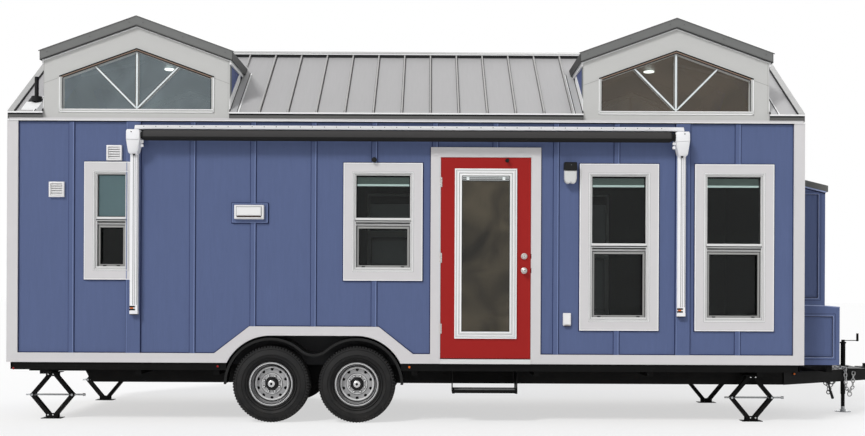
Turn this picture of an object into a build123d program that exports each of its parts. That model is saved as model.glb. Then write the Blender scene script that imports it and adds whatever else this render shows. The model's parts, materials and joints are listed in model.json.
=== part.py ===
"""A tiny house on a tandem-axle trailer: +X runs to the tongue, -Y is the door side, +Z is up."""
import os
from math import atan2, cos, degrees, hypot, pi, radians, sin, sqrt

from build123d import *

os.makedirs("parts", exist_ok=True)

# ---------------------------------------------------------------- driving dimensions, millimetres
# House body
body_length = 8030
body_width = 2550
wall = 120
deck_top = 608
floor_top = 655
board = 20              # trim boards stand this proud of the siding
board_width = 90
seat = 0.3              # gap where a separate piece is seated on another
metal = 3               # folded roof metal

# Door, which sets the height of the windows, the eaves and all that stands on them
door_centre = 4824      # from the rear face
door_width = 910
door_height = 2032
door_thickness = 45
door_bottom = 663
door_gap = 5
door_margin = 3         # jamb to leaf at the hinges and the head
door_top = door_bottom + door_height
door_lite_width = 600
door_lite_low = 215     # from the foot of the leaf
door_lite_head = 127     # from the top of the leaf
lite_frame = 70
hinge_radius = 6
hinge_length = 100
knob_height = 890
bolt_height = 1035
holdback_reach = 672    # from the hinge axis
holdback_length = 45
casing = 100

# Main roof and the two cross-gable dormers
head_room = 342         # from the top of the door's casing to the eave
eave_height = door_top + door_margin + casing + head_room
main_rise = 878         # ridge above the eave
main_ridge = eave_height + main_rise
overhang = 25           # eaves, beyond the long walls
rake_overhang = 12      # roof ends, beyond the end walls
roof_depth = 120        # roof build-up, measured upright
fascia = 56
dormer_over = 88        # a dormer's ridge above the main one
dormer_ridge = main_ridge + dormer_over
dormer_pitch = 0.361
dormer_roof_depth = 90
dormer_offset = 2733    # from the middle of the body to a dormer's ridge
dormer_half = 942       # half the dormer's face
dormer_eave = 28        # the dormer roof's side overhang
cheek = 90
rake_skirt = 80         # end flashing, down from the roof's surface
seam_pitch = 288
seam_shift = -46         # from the middle of the body to the nearest seam
seam_height = 32
seam_width = 14
cap_height = 12
cap_reach = 95

# Windows: (distance of the centre from the rear face, width, sill, head)
window_drop = 158       # window heads below the door's head
window_head = door_top - window_drop
high_sill = 1545
low_sill = 1050
bath_window = (1031, 340, high_sill, window_head)
kitchen_window = (3784, 600, high_sill, window_head)
living_window = (6174, 600, low_sill, window_head)
front_window = (7340, 600, low_sill, window_head)
sash = 45               # bottom rail
head_sash = 24
meeting_half = 40       # half the meeting rail's height
glass = 6
dormer_glass_half = 750
dormer_sill_lift = 34   # above the eave
dormer_side_height = 310
dormer_glass_sill = eave_height + dormer_sill_lift
dormer_glass_side = dormer_glass_sill + dormer_side_height
dormer_frame = 35
mullion = 26

# Trailer
channel = 76            # outer deck channel
channel_flange = 38
channel_web = 6
rail_bottom = 370
rail_height = 203
rail_flange = 60
rail_web = 8
rail_spread = 1640      # over the outer faces of the two main rails
rail_rear_depth = 88
rail_taper_start = 635  # from the rear face
rail_taper = 62
cross_depth = 88
tongue_reach = 1355     # front wall face to the coupler's nose
tongue_depth = 130
leg_width = 60
tyre_radius = 391
tyre_width = 235
rim_radius = 206
rim_lip = 222
axle_from_rear = 2651
axle_spacing = 871
tyre_inset = 13         # tyre's outer face behind the siding
arch_radius = 495
fender_radius = 472
fender_plate = 4
fender_valley = 190
spindle = 25
bore_gap = 0.5

# Awning on the door side
awning_reach = 165
awning_centre = 4039
arm_spacing = 5561
arm_width = 92
arm_low = 1090
head_drop = 177         # top of an arm's head below the eave
head_height = 235
head_width = 149
roll_radius = 70
roll_drop = 75          # middle of the roll below the top of the heads
rail_depth = 40
arm_head_high = eave_height - head_drop
arm_head_low = arm_head_high - head_height
roll_height = arm_head_high - roll_drop

# Front cabinets
cabinet_width = 1650
lower_cabinet_depth = 553
lower_cabinet_low = 580
lower_cabinet_high = 1205
upper_cabinet_depth = 395
upper_cabinet_high = 2565
upper_lid = 65
upper_lid_slope = 0.244
lower_lid = 16
lower_lid_slope = 0.07

# ---------------------------------------------------------------- places worked out from them
rear_reach = rake_overhang + metal
overall_length = rear_reach + body_length + tongue_reach
overall_width = awning_reach + body_width + overhang + metal
rear = rear_reach - overall_length / 2
front = rear + body_length
mid_x = (rear + front) / 2
near = awning_reach - overall_width / 2
far = near + body_width
mid_y = (near + far) / 2
half_width = body_width / 2
half_roof = half_width + overhang
main_pitch = (main_ridge - eave_height) / half_roof
wall_top = main_ridge - roof_depth - main_pitch * half_width
dormer_roof_half = dormer_half + dormer_eave
dormer_centres = (mid_x - dormer_offset, mid_x + dormer_offset)
rail_top = rail_bottom + rail_height
axles_x = (rear + axle_from_rear, rear + axle_from_rear + axle_spacing)
wheel_y = half_width - tyre_inset - tyre_width / 2
door_left = rear + door_centre - door_width / 2
door_right = door_left + door_width
hinge_x = door_left - door_margin
hinge_y = near - board - hinge_radius
nose_x = front + tongue_reach
windows_near = (bath_window, kitchen_window, living_window, front_window)
windows_far = (kitchen_window, living_window, front_window)
sides = (-1, 1)


def valley_y(across):
    """Distance from the main ridge at which the two roofs meet, a given way from a dormer's ridge."""
    return (across * dormer_pitch - (dormer_ridge - main_ridge)) / main_pitch


valley_head = (dormer_ridge - main_ridge) / dormer_pitch


# ---------------------------------------------------------------- small shape helpers
def block(x0, x1, y0, y1, z0, z1, mode=Mode.ADD):
    """A box between two corners."""
    with Locations(((x0 + x1) / 2, (y0 + y1) / 2, (z0 + z1) / 2)):
        Box(abs(x1 - x0), abs(y1 - y0), abs(z1 - z0), mode=mode)


def slab(outline, axis, low, high, mode=Mode.ADD):
    """A polygon pushed from low to high along an axis; its points hold the other two coordinates."""
    planes = {"x": Plane.YZ.offset(low), "y": Plane.XZ.offset(-low), "z": Plane.XY.offset(low)}
    reach = low - high if axis == "y" else high - low
    with BuildSketch(planes[axis]) as face:
        with BuildLine():
            Polyline(*outline, close=True)
        make_face()
    extrude(face.sketch, amount=reach, mode=mode)


def rod(start, end, radius, mode=Mode.ADD):
    """A round bar from one point to another."""
    way = Vector(*end) - Vector(*start)
    with BuildSketch(Plane(origin=start, z_dir=way)) as ring:
        Circle(radius)
    extrude(ring.sketch, amount=way.length, mode=mode)


def keep(piece, name):
    """Label a finished piece and write it."""
    piece.part.label = name
    export_step(piece.part, f"parts/{name}.step")


def y_at(side, distance):
    """The Y of a place measured from the middle towards one long wall."""
    return mid_y + side * distance


def across(side, inner, outer):
    """Low and high Y of something between two distances from the middle, on one side."""
    return sorted((y_at(side, inner), y_at(side, outer)))


# ---------------------------------------------------------------- trailer frame
with BuildPart() as main_rails:
    rail_rear = rear + 40
    rail_front = front - 40
    for side in sides:
        outer = rail_spread / 2
        y0, y1 = across(side, outer - rail_web, outer)
        f0, f1 = across(side, outer - rail_flange, outer)
        step_x = rear + rail_taper_start
        shallow = rail_top - rail_rear_depth
        slab([(rail_rear, rail_top), (rail_front, rail_top), (rail_front, rail_bottom),
              (step_x + rail_taper, rail_bottom), (step_x, shallow), (rail_rear, shallow)],
             "y", y0, y1)
        block(rail_rear, rail_front, f0, f1, rail_top - rail_web, rail_top)
        block(step_x + rail_taper, rail_front, f0, f1, rail_bottom, rail_bottom + rail_web)
        block(rail_rear, step_x, f0, f1, shallow, shallow + rail_web)
keep(main_rails, "main_rails")

jack_x = (rear + 329, rear + 7621)
arch_x = (axles_x[0] - arch_radius, axles_x[1] + arch_radius)
stations = (jack_x[0], rear + 1300, arch_x[0] - 60, mid_x - 930, arch_x[1] + 90,
            rear + 5350, rear + 6500, jack_x[1])
with BuildPart() as cross_members:
    for x in stations:
        inner = rail_spread / 2 - rail_flange
        block(x - 30, x + 30, y_at(-1, inner), y_at(1, inner), rail_top - cross_depth, rail_top)
        if arch_x[0] < x < arch_x[1]:
            continue
        for side in sides:
            y0, y1 = across(side, rail_spread / 2, half_width - channel_web - seat)
            block(x - 30, x + 30, y0, y1, rail_top - cross_depth, rail_top)
            f0, f1 = across(side, half_width - channel_flange - seat, half_width)
            block(x - 31, x + 31, f0, f1, rail_top - cross_depth - 1, deck_top - channel + channel_web
                  + seat, mode=Mode.SUBTRACT)
keep(cross_members, "cross_members")

fender_foot = sqrt(fender_radius**2 - (deck_top - channel - tyre_radius) ** 2)
channel_runs = ((rear + 35, axles_x[0] - fender_foot - seat),
                (axles_x[1] + fender_foot + seat, front - 35))


def channel_outline(side, face):
    """Section of the deck channel, its web on the outside, as points of the upright plane."""
    low, high = deck_top - channel, deck_top
    web, lip = face - side * channel_web, face - side * channel_flange
    return [(face, low), (face, high), (lip, high), (lip, high - channel_web),
            (web, high - channel_web), (web, low + channel_web), (lip, low + channel_web), (lip, low)]


with BuildPart() as deck_channel:
    for side in sides:
        for x0, x1 in channel_runs:
            slab(channel_outline(side, y_at(side, half_width)), "x", x0, x1)
    for side, face in ((-1, rear + 1), (1, front - 1)):
        y_reach = half_width - channel_flange - seat
        slab([(x, z) for x, z in channel_outline(side, face)], "y",
             y_at(-1, y_reach), y_at(1, y_reach))
keep(deck_channel, "deck_channel")

leg_root = rail_spread / 2 - leg_width / 2
apex_x = nose_x - 170
leg_tip = 58
leg_low = rail_bottom
leg_high = rail_bottom + tongue_depth
cross_bars = (front + 90, front + 430)
plate_x = (nose_x - 560, nose_x - 330)
jack_post_back = 455
jack_post_x = nose_x - jack_post_back
jack_post_radius = 26


def leg_y(x):
    """Distance of a tongue leg's centre line from the middle at a place along it."""
    return leg_tip + (leg_root - leg_tip) * (apex_x - x) / (apex_x - front)


def leg_outline(side, grow=0):
    """Plan of one tongue leg, from the main rail's end to the coupler."""
    leg_start = front - 40 + seat
    half = leg_width / 2 + grow
    return [(leg_start, y_at(side, leg_y(leg_start) - half)),
            (leg_start, y_at(side, leg_y(leg_start) + half)),
            (apex_x, y_at(side, leg_tip + half)), (apex_x, y_at(side, leg_tip - half))]


with BuildPart() as tongue_frame:
    for side in sides:
        slab(leg_outline(side), "z", leg_low, leg_high)
    for x in cross_bars:
        reach = cabinet_width / 2 - 40
        block(x, x + 60, y_at(-1, reach), y_at(1, reach), leg_high + seat, lower_cabinet_low - seat)
    plate_half = leg_y(plate_x[0]) + 30
    block(*plate_x, y_at(-1, plate_half), y_at(1, plate_half), leg_high + seat, leg_high + 10)
    rod((jack_post_x, mid_y, leg_high), (jack_post_x, mid_y, leg_high + 12),
        jack_post_radius + seat, mode=Mode.SUBTRACT)
keep(tongue_frame, "tongue_frame")

# ---------------------------------------------------------------- coupler, chains and tongue jack
ball_x = nose_x - 40
ball_radius = 29.8
ball_depth = 60
coupler_low = leg_low + 40
with BuildPart() as hitch_coupler:
    gap = leg_tip - leg_width / 2 - seat
    slab([(apex_x - 160, y_at(-1, gap)), (apex_x - 160, y_at(1, gap)), (apex_x + 10, y_at(1, gap)),
          (nose_x - 70, y_at(1, 46)), (nose_x - 12, y_at(1, 40)), (nose_x, y_at(1, 22)),
          (nose_x, y_at(-1, 22)), (nose_x - 12, y_at(-1, 40)), (nose_x - 70, y_at(-1, 46)),
          (apex_x + 10, y_at(-1, gap))], "z", coupler_low, leg_high + seat)
    block(apex_x - 120, apex_x - 20, y_at(-1, leg_tip + 30), y_at(1, leg_tip + 30),
          leg_high + seat, leg_high + 10)
    block(apex_x - 60, apex_x + 60, y_at(-1, 14), y_at(1, 14), leg_high, leg_high + 48)
    rod((ball_x, mid_y, coupler_low), (ball_x, mid_y, coupler_low + ball_depth), ball_radius,
        mode=Mode.SUBTRACT)
keep(hitch_coupler, "hitch_coupler")

chain_radius = 11
chain_off = leg_width / 2 + chain_radius + 5
chain_x = (nose_x - 560, nose_x - 440)
chain_high = leg_high - 30
chain_low = 232
with BuildPart() as safety_chains:
    for side in sides:
        start, end = ((x, y_at(side, leg_y(x) + chain_off)) for x in chain_x)
        lean = (end[1] - start[1]) / (end[0] - start[0])
        inner = [(start[0] + away, start[1] + lean * away, z)
                 for away, z in ((6, chain_low + 70), (58, chain_low), (112, chain_low + 62))]
        with BuildLine() as path:
            FilletPolyline((*start, chain_high), *inner, (*end, chain_high), radius=34)
        with BuildSketch(Plane(origin=path.line @ 0, z_dir=path.line % 0)):
            Circle(chain_radius)
        sweep(path=path.line)
        for x, y in (start, end):
            rod((x, y, chain_high), (x, y - side * (chain_radius + 12), chain_high), 9)
        slab(leg_outline(side, grow=seat), "z", leg_low, leg_high, mode=Mode.SUBTRACT)
keep(safety_chains, "safety_chains")

leg_radius = 21
foot_radius = 87
foot_height = 9
post_low = 200
post_top = 770
leg_travel = 160
with BuildPart() as tongue_jack_post:
    rod((jack_post_x, mid_y, post_low), (jack_post_x, mid_y, post_top), jack_post_radius)
    rod((jack_post_x, mid_y, leg_high + 10 + seat), (jack_post_x, mid_y, leg_high + 20), 62)
    rod((jack_post_x, mid_y, post_low), (jack_post_x, mid_y, post_top - 30), leg_radius + seat,
        mode=Mode.SUBTRACT)
    rod((jack_post_x, mid_y, post_top), (jack_post_x, mid_y, post_top + 16), 34)
    rod((jack_post_x, mid_y, post_top + 10), (jack_post_x, mid_y, post_top + 26), 10)
keep(tongue_jack_post, "tongue_jack_post")

with BuildPart() as tongue_jack_leg:
    rod((jack_post_x, mid_y, foot_height), (jack_post_x, mid_y, post_top - 50 - leg_travel),
        leg_radius)
    rod((jack_post_x, mid_y, 0), (jack_post_x, mid_y, foot_height), foot_radius)
    rod((jack_post_x, mid_y, foot_height), (jack_post_x, mid_y, foot_height + 22), leg_radius + 9)
keep(tongue_jack_leg, "tongue_jack_leg")

crank_reach = 162
with BuildPart() as tongue_jack_crank:
    crank_low = post_top + 16 + seat
    rod((jack_post_x, mid_y, crank_low), (jack_post_x, mid_y, crank_low + 24), 19)
    rod((jack_post_x, mid_y, crank_low), (jack_post_x, mid_y, crank_low + 10 + seat), 10.3,
        mode=Mode.SUBTRACT)
    block(jack_post_x, jack_post_x + crank_reach, y_at(-1, 10), y_at(1, 10),
          crank_low + 12, crank_low + 20)
    rod((jack_post_x + crank_reach, mid_y, crank_low + 8),
        (jack_post_x + crank_reach, mid_y, crank_low + 96), 13)
keep(tongue_jack_crank, "tongue_jack_crank")

# ---------------------------------------------------------------- axles, wheels and fenders
beam = 76
beam_ahead = 150
arm_face = wheel_y - tyre_width / 2 - 12
with BuildPart() as axles:
    for x in axles_x:
        beam_x = x + beam_ahead
        reach = arm_face - 30
        block(beam_x - beam / 2, beam_x + beam / 2, y_at(-1, reach), y_at(1, reach),
              rail_bottom - beam - 6, rail_bottom - 6)
        for side in sides:
            y0, y1 = across(side, rail_spread / 2 - rail_flange, rail_spread / 2)
            block(beam_x - 70, beam_x + 70, y0, y1, rail_bottom - 30, rail_bottom - seat)
            y0, y1 = across(side, reach, arm_face)
            slab([(beam_x + 45, rail_bottom - 90), (beam_x + 45, rail_bottom), (x - 20, tyre_radius + 42),
                  (x - 42, tyre_radius), (x - 20, tyre_radius - 42)], "y", y0, y1)
            rod((x, y_at(side, reach), tyre_radius), (x, y_at(side, wheel_y + 62), tyre_radius), spindle)
            rod((x, y_at(side, arm_face - 2), tyre_radius), (x, y_at(side, arm_face + 12), tyre_radius),
                44)
keep(axles, "axles")

tread_half = 96
groove_depth = 9
groove_width = 9
shoulder = 24
hand_hole = 16
hand_hole_ring = 146
hand_holes = 10
hub_ring = 52
dish = 30               # disc face measured outward from the wheel's middle plane
wheel_names = ("rear", "front")


def ring_profile(points, y, side):
    """Wheel profile points (radius, distance outward) as places above the axle."""
    return [(y + side * out, tyre_radius + radius) for radius, out in points]


for side, side_name in ((-1, "near"), (1, "far")):
    for x, wheel_name in zip(axles_x, wheel_names):
        wheel_mid = y_at(side, wheel_y)
        turn = Axis((x, wheel_mid, tyre_radius), (0, 1, 0))
        half = tyre_width / 2
        tread = tyre_radius
        with BuildPart() as tyre:
            with BuildSketch(Plane.YZ.offset(x)):
                with BuildLine():
                    corners = ring_profile(
                        [(rim_radius, -82), (rim_radius + 26, -98), (rim_radius + 92, -half),
                         (tread - shoulder, -tread_half - 8), (tread - 5, -tread_half + 12),
                         (tread, -tread_half / 2), (tread, tread_half / 2),
                         (tread - 5, tread_half - 12), (tread - shoulder, tread_half + 8),
                         (rim_radius + 92, half), (rim_radius + 26, 98), (rim_radius, 82)],
                        wheel_mid, side)
                    Polyline(*corners, close=True)
                make_face()
                for groove in (-48, -16, 16, 48):
                    y0 = wheel_mid + groove
                    with Locations((y0, 2 * tyre_radius - groove_depth / 2 + 1)):
                        Rectangle(groove_width, groove_depth + 2, mode=Mode.SUBTRACT)
            revolve(axis=turn)
        keep(tyre, f"tyre_{side_name}_{wheel_name}")

        with BuildPart() as rim:
            bore = spindle + bore_gap
            bed = rim_radius - seat
            barrel = [(rim_lip, -104), (rim_lip, -98), (bed, -96), (bed, 96), (rim_lip, 98),
                      (rim_lip, 104), (bed - 7, 104), (bed - 7, -104)]
            disc = [(bore, dish - 36), (bore, dish + 34), (hub_ring, dish + 34), (hub_ring, dish),
                    (100, dish + 2), (150, dish - 12), (bed - 4, dish - 30), (bed - 4, dish - 37),
                    (150, dish - 19), (100, dish - 5), (hub_ring + 6, dish - 7),
                    (hub_ring + 6, dish - 36)]
            with BuildSketch(Plane.YZ.offset(x)):
                for outline in (barrel, disc):
                    with BuildLine():
                        Polyline(*ring_profile(outline, wheel_mid, side), close=True)
                    make_face()
            revolve(axis=turn)
            for k in range(hand_holes):
                angle = 2 * pi * (k + 0.5) / hand_holes
                spot = (x + hand_hole_ring * cos(angle), tyre_radius + hand_hole_ring * sin(angle))
                rod((spot[0], wheel_mid + side * (dish - 60), spot[1]),
                    (spot[0], wheel_mid + side * (dish + 20), spot[1]), hand_hole, mode=Mode.SUBTRACT)
        keep(rim, f"rim_{side_name}_{wheel_name}")

valley_height = sqrt((fender_radius + fender_valley) ** 2 - (axle_spacing / 2) ** 2)
fender_width = tyre_width + 26
wheels_mid = (axles_x[0] + axles_x[1]) / 2


def fender_face(radius, valley):
    """Half-open outline of the double-hump fender at one surface, drawn over the wheels."""
    meet = atan2(valley_height, axle_spacing / 2)
    left, right = axles_x
    touch = (left + radius * cos(meet), tyre_radius + radius * sin(meet))
    mirror_touch = (right - radius * cos(meet), touch[1])
    crown_left = (left - radius * sin(radians(45)), tyre_radius + radius * cos(radians(45)))
    crown_right = (right + radius * sin(radians(45)), crown_left[1])
    bottom = (wheels_mid, tyre_radius + valley_height - valley)
    ThreePointArc((left - radius, tyre_radius), crown_left, touch)
    ThreePointArc(touch, bottom, mirror_touch)
    ThreePointArc(mirror_touch, crown_right, (right + radius, tyre_radius))


with BuildPart() as fenders:
    for side in sides:
        inside = y_at(side, half_width - fender_width)
        for thick, start, end in ((fender_plate, half_width - fender_width, half_width + 12),
                                  (26, half_width + 8, half_width + 12)):
            y0, y1 = across(side, start, end)
            with BuildSketch(Plane.XZ.offset(-y0)) as band:
                with BuildLine():
                    fender_face(fender_radius, fender_valley)
                    fender_face(fender_radius - thick, fender_valley + thick)
                    Line((axles_x[0] - fender_radius, tyre_radius),
                         (axles_x[0] - fender_radius + thick, tyre_radius))
                    Line((axles_x[1] + fender_radius, tyre_radius),
                         (axles_x[1] + fender_radius - thick, tyre_radius))
                make_face()
            extrude(band.sketch, amount=y0 - y1)
keep(fenders, "fenders")

# ---------------------------------------------------------------- scissor jacks, fixed as let down
jack_y = 930
jack_top = rail_top - cross_depth
mid_pin_x = 208
mid_pin_z = 245
foot_pin_x = 32
foot_pin_z = 34
top_pin_z = jack_top - 32
arm_size = 38
pin_radius = 8
trunnion_radius = 12
plate = 4
arm_outer = 32          # half width over a lower arm
with BuildPart() as jack_plates:
    for side in sides:
        for x in jack_x:
            y0, y1 = across(side, jack_y - 65, jack_y + 65)
            block(x - 105, x + 105, y0, y1, 0, 6)
            block(x - 95, x + 95, y0, y1, jack_top - 6 - seat, jack_top - seat)
            for z0, z1, pin_z in ((6, foot_pin_z + 14, foot_pin_z),
                                  (top_pin_z - 14, jack_top - 6 - seat, top_pin_z)):
                for y_off in (-arm_outer - 1 - plate, arm_outer + 1):
                    y0, y1 = y_at(side, jack_y) + y_off, y_at(side, jack_y) + y_off + plate
                    block(x - 62, x + 62, y0, y1, z0, z1)
                for pin_x in (-foot_pin_x, foot_pin_x):
                    rod((x + pin_x, y_at(side, jack_y) - arm_outer - 8, pin_z),
                        (x + pin_x, y_at(side, jack_y) + arm_outer + 8, pin_z), pin_radius)
keep(jack_plates, "jack_plates")

with BuildPart() as jack_arms:
    for side in sides:
        for x in jack_x:
            for way in sides:
                for end_z, outer in ((foot_pin_z, arm_outer), (top_pin_z, arm_outer - plate - 1)):
                    start = (x + way * foot_pin_x, end_z)
                    end = (x + way * mid_pin_x, mid_pin_z)
                    span = hypot(end[0] - start[0], end[1] - start[1])
                    lean = degrees(atan2(end[1] - start[1], end[0] - start[0]))
                    centre = ((start[0] + end[0]) / 2, (start[1] + end[1]) / 2)
                    for y_off in (-outer, outer - plate):
                        face_y = y_at(side, jack_y) + y_off
                        with BuildSketch(Plane.XZ.offset(-face_y)) as link:
                            with Locations(centre):
                                SlotCenterToCenter(span, arm_size, rotation=lean)
                            with Locations(start):
                                Circle(pin_radius + seat, mode=Mode.SUBTRACT)
                            with Locations(end):
                                Circle(trunnion_radius + seat, mode=Mode.SUBTRACT)
                        extrude(link.sketch, amount=-plate)
                    below = -1 if end_z < mid_pin_z else 1
                    edge = below * (arm_size / 2 - plate / 2)
                    normal = lean + 90 if cos(radians(lean)) > 0 else lean - 90
                    shift = (centre[0] + edge * cos(radians(normal)), centre[1] + edge * sin(radians(normal)))
                    with BuildSketch(Plane.XZ.offset(-(y_at(side, jack_y) - outer))) as web:
                        with Locations(shift):
                            Rectangle(span - 90, plate, rotation=lean)
                    extrude(web.sketch, amount=-2 * outer)
keep(jack_arms, "jack_arms")

with BuildPart() as jack_screws:
    for side in sides:
        for x in jack_x:
            y = y_at(side, jack_y)
            rod((x - mid_pin_x - 70, y, mid_pin_z), (x + mid_pin_x + 125, y, mid_pin_z), 9)
            rod((x + mid_pin_x + 105, y, mid_pin_z), (x + mid_pin_x + 130, y, mid_pin_z), 14)
            for way in sides:
                rod((x + way * mid_pin_x, y - arm_outer - 6, mid_pin_z),
                    (x + way * mid_pin_x, y + arm_outer + 6, mid_pin_z), trunnion_radius)
keep(jack_screws, "jack_screws")

# ---------------------------------------------------------------- pull-out entry step
step_width = 640
step_top = 340
step_thick = 32
step_depth = 300
step_inset = 20
step_travel = 260
with BuildPart() as step_runners:
    step_low = step_top - step_thick
    y0, y1 = across(-1, half_width - 400, half_width - channel_flange - 6)
    for end in (-1, 1):
        edge = rear + door_centre + end * step_width / 2
        x0, x1 = sorted((edge + end * 6, edge + end * 12))
        block(x0, x1, y0, y1, step_low - 7, rail_top - seat)
        x0, x1 = sorted((edge - end * 14, edge + end * 12))
        block(x0, x1, y0, y1, step_low - 7, step_low - bore_gap)
        x0, x1 = sorted((edge - end * 14, edge + end * 40))
        block(x0, x1, y0, y1, rail_top - 8, rail_top - seat)
keep(step_runners, "step_runners")

with BuildPart() as entry_step:
    half = step_width / 2
    x = rear + door_centre
    y0, y1 = across(-1, half_width - step_depth - step_inset, half_width - step_inset)
    block(x - half, x + half, y0, y1, step_top - step_thick, step_top)
    block(x - half + 20, x + half - 20, y0 + 20, y1 - 20, step_top - step_thick, step_top - 4,
          mode=Mode.SUBTRACT)
    for rib in range(-2, 3):
        block(x + rib * 100 - 3, x + rib * 100 + 3, y0 + 20, y1 - 20, step_top - step_thick,
              step_top - 4)
keep(entry_step, "entry_step")

marker_width = 24
marker_depth = 14
side_markers = ((rear + 48, deck_top - channel + 12), (arch_x[0] - 40, deck_top - 37),
                (arch_x[1] + 40, deck_top - 37))
tongue_marker = (front + 93, leg_low + 112)
with BuildPart() as marker_lights:
    spots = [(x, z, half_width + seat) for x, z in side_markers]
    spots.append((*tongue_marker, leg_y(tongue_marker[0] - marker_width / 2) + leg_width / 2 + seat))
    for side in sides:
        for x, z, away in spots:
            y0, y1 = across(side, away, away + marker_depth)
            block(x - marker_width / 2, x + marker_width / 2, y0, y1, z - marker_width / 2,
                  z + marker_width / 2)
keep(marker_lights, "marker_lights")

# ---------------------------------------------------------------- floor and wheel wells
well_plate = 12
well_reach = wall + 155
well_x = (arch_x[0] + 5, arch_x[1] - 5)
well_top = tyre_radius + arch_radius
with BuildPart() as floor:
    joist_reach = half_width - channel_flange - seat
    joist_x = (rear + 1 + channel_flange + seat, front - 1 - channel_flange - seat)
    block(*joist_x, y_at(-1, joist_reach), y_at(1, joist_reach), rail_top + seat, deck_top - seat)
    block(rear + wall, front - wall, near + wall, far - wall, deck_top - seat, floor_top)
    for side in sides:
        y0, y1 = across(side, half_width - well_reach, half_width + 10)
        block(*well_x, y0, y1, rail_top, floor_top, mode=Mode.SUBTRACT)
keep(floor, "floor")

with BuildPart() as wheel_wells:
    for side in sides:
        y0, y1 = across(side, half_width - well_reach + seat, half_width - wall - seat)
        i0, i1 = across(side, half_width - well_reach + well_plate, half_width)
        block(well_x[0] + seat, well_x[1] - seat, y0, y1, rail_top + seat, well_top + well_plate)
        block(well_x[0] + well_plate, well_x[1] - well_plate, i0, i1, rail_top, well_top,
              mode=Mode.SUBTRACT)
keep(wheel_wells, "wheel_wells")


# ---------------------------------------------------------------- walls
def arch_cut(y0, y1, radius, mode=Mode.SUBTRACT):
    """The wheel arch: a quarter round at each axle joined by a level top."""
    with BuildSketch(Plane.XZ.offset(-y0)) as opening:
        for x in axles_x:
            with Locations((x, tyre_radius)):
                Circle(radius)
        with Locations((wheels_mid, tyre_radius + radius / 2)):
            Rectangle(axle_spacing, radius)
    extrude(opening.sketch, amount=y0 - y1, mode=mode)


def window_hole(window, y0, y1, grow=0, mode=Mode.SUBTRACT):
    """The opening for one window, or a block that much larger all round."""
    centre, width, sill, head = window
    x = rear + centre
    block(x - width / 2 - grow, x + width / 2 + grow, y0, y1, sill - grow, head + grow, mode=mode)


def wall_piece(x0, x1, side, windows, low=deck_top):
    """A stretch of a long wall, with its windows and wheel arch cut through."""
    y0, y1 = across(side, half_width - wall, half_width)
    block(x0, x1, y0, y1, low, wall_top - seat)
    for window in windows:
        window_hole(window, y0, y1)
    if x0 < wheels_mid < x1:
        arch_cut(y0, y1, arch_radius)


frame_hole = (door_left - 25, door_right + 25)
frame_head = door_top + 25
with BuildPart() as near_wall_rear:
    wall_piece(rear, frame_hole[0], -1, (bath_window, kitchen_window))
keep(near_wall_rear, "near_wall_rear")

with BuildPart() as near_wall_over_door:
    wall_piece(frame_hole[0] + seat, frame_hole[1] - seat, -1, (), low=frame_head)
keep(near_wall_over_door, "near_wall_over_door")

with BuildPart() as near_wall_front:
    wall_piece(frame_hole[1], front, -1, (living_window, front_window))
keep(near_wall_front, "near_wall_front")

with BuildPart() as far_wall:
    wall_piece(rear, front, 1, windows_far)
keep(far_wall, "far_wall")

ridge_under = main_ridge - roof_depth
shoulder_z = ridge_under - main_pitch * (half_width - wall)
end_outline = [(near + wall + seat, deck_top), (near + wall + seat, shoulder_z),
               (mid_y, ridge_under - seat), (far - wall - seat, shoulder_z),
               (far - wall - seat, deck_top)]
with BuildPart() as rear_wall:
    slab(end_outline, "x", rear, rear + wall - seat)
keep(rear_wall, "rear_wall")

with BuildPart() as front_wall:
    slab(end_outline, "x", front - wall + seat, front)
keep(front_wall, "front_wall")


# ---------------------------------------------------------------- dormers
def dormer_z(away):
    """Top of a dormer's roof a given way from its ridge."""
    return dormer_ridge - dormer_pitch * away


def pentagon(centre, half, low, shoulder_height, peak):
    """A gable-shaped outline."""
    return [(centre - half, low), (centre - half, shoulder_height), (centre, peak),
            (centre + half, shoulder_height), (centre + half, low)]


under = dormer_roof_depth + seat
glass_peak = dormer_glass_side + dormer_pitch * dormer_glass_half
frame_half = dormer_glass_half + dormer_frame
frame_low = dormer_glass_sill - dormer_frame
frame_side = dormer_glass_side + dormer_frame
frame_peak = frame_side + dormer_pitch * frame_half
with BuildPart() as dormer_walls:
    for side in sides:
        y0, y1 = across(side, half_width - wall, half_width)
        for x in dormer_centres:
            slab(pentagon(x, dormer_half, wall_top, dormer_z(dormer_half) - under,
                          dormer_ridge - under), "y", y0, y1)
            slab(pentagon(x, frame_half, frame_low, frame_side, frame_peak), "y", y0, y1,
                 mode=Mode.SUBTRACT)
keep(dormer_walls, "dormer_walls")

with BuildPart() as dormer_cheeks:
    for side in sides:
        start = half_width - wall - seat
        top = dormer_z(dormer_half)
        for x in dormer_centres:
            for way in sides:
                x0, x1 = sorted((x + way * (dormer_half - cheek), x + way * (dormer_half - seat)))
                tip = valley_y(dormer_half) + seat
                slab([(y_at(side, start), shoulder_z), (y_at(side, start), top),
                      (y_at(side, tip), top), (y_at(side, tip), ridge_under - main_pitch * tip)],
                     "x", x0, x1)
                slab([(x, dormer_ridge - under), (x + way * dormer_half, top - under),
                      (x + way * dormer_half, top + 200), (x, dormer_ridge + 200)],
                     "y", mid_y - half_width, mid_y + half_width, mode=Mode.SUBTRACT)
keep(dormer_cheeks, "dormer_cheeks")


# ---------------------------------------------------------------- roofs
def roof_plan(centre, half, reach, grow=0):
    """Plan of the ground that a dormer's roof covers, out to the valleys."""
    turn_y = valley_y(half)
    return [(centre - half, mid_y - reach), (centre - half, mid_y - turn_y),
            (centre - valley_head, mid_y), (centre - half, mid_y + turn_y),
            (centre - half, mid_y + reach), (centre + half, mid_y + reach),
            (centre + half, mid_y + turn_y), (centre + valley_head, mid_y),
            (centre + half, mid_y - turn_y), (centre + half, mid_y - reach)]


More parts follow.
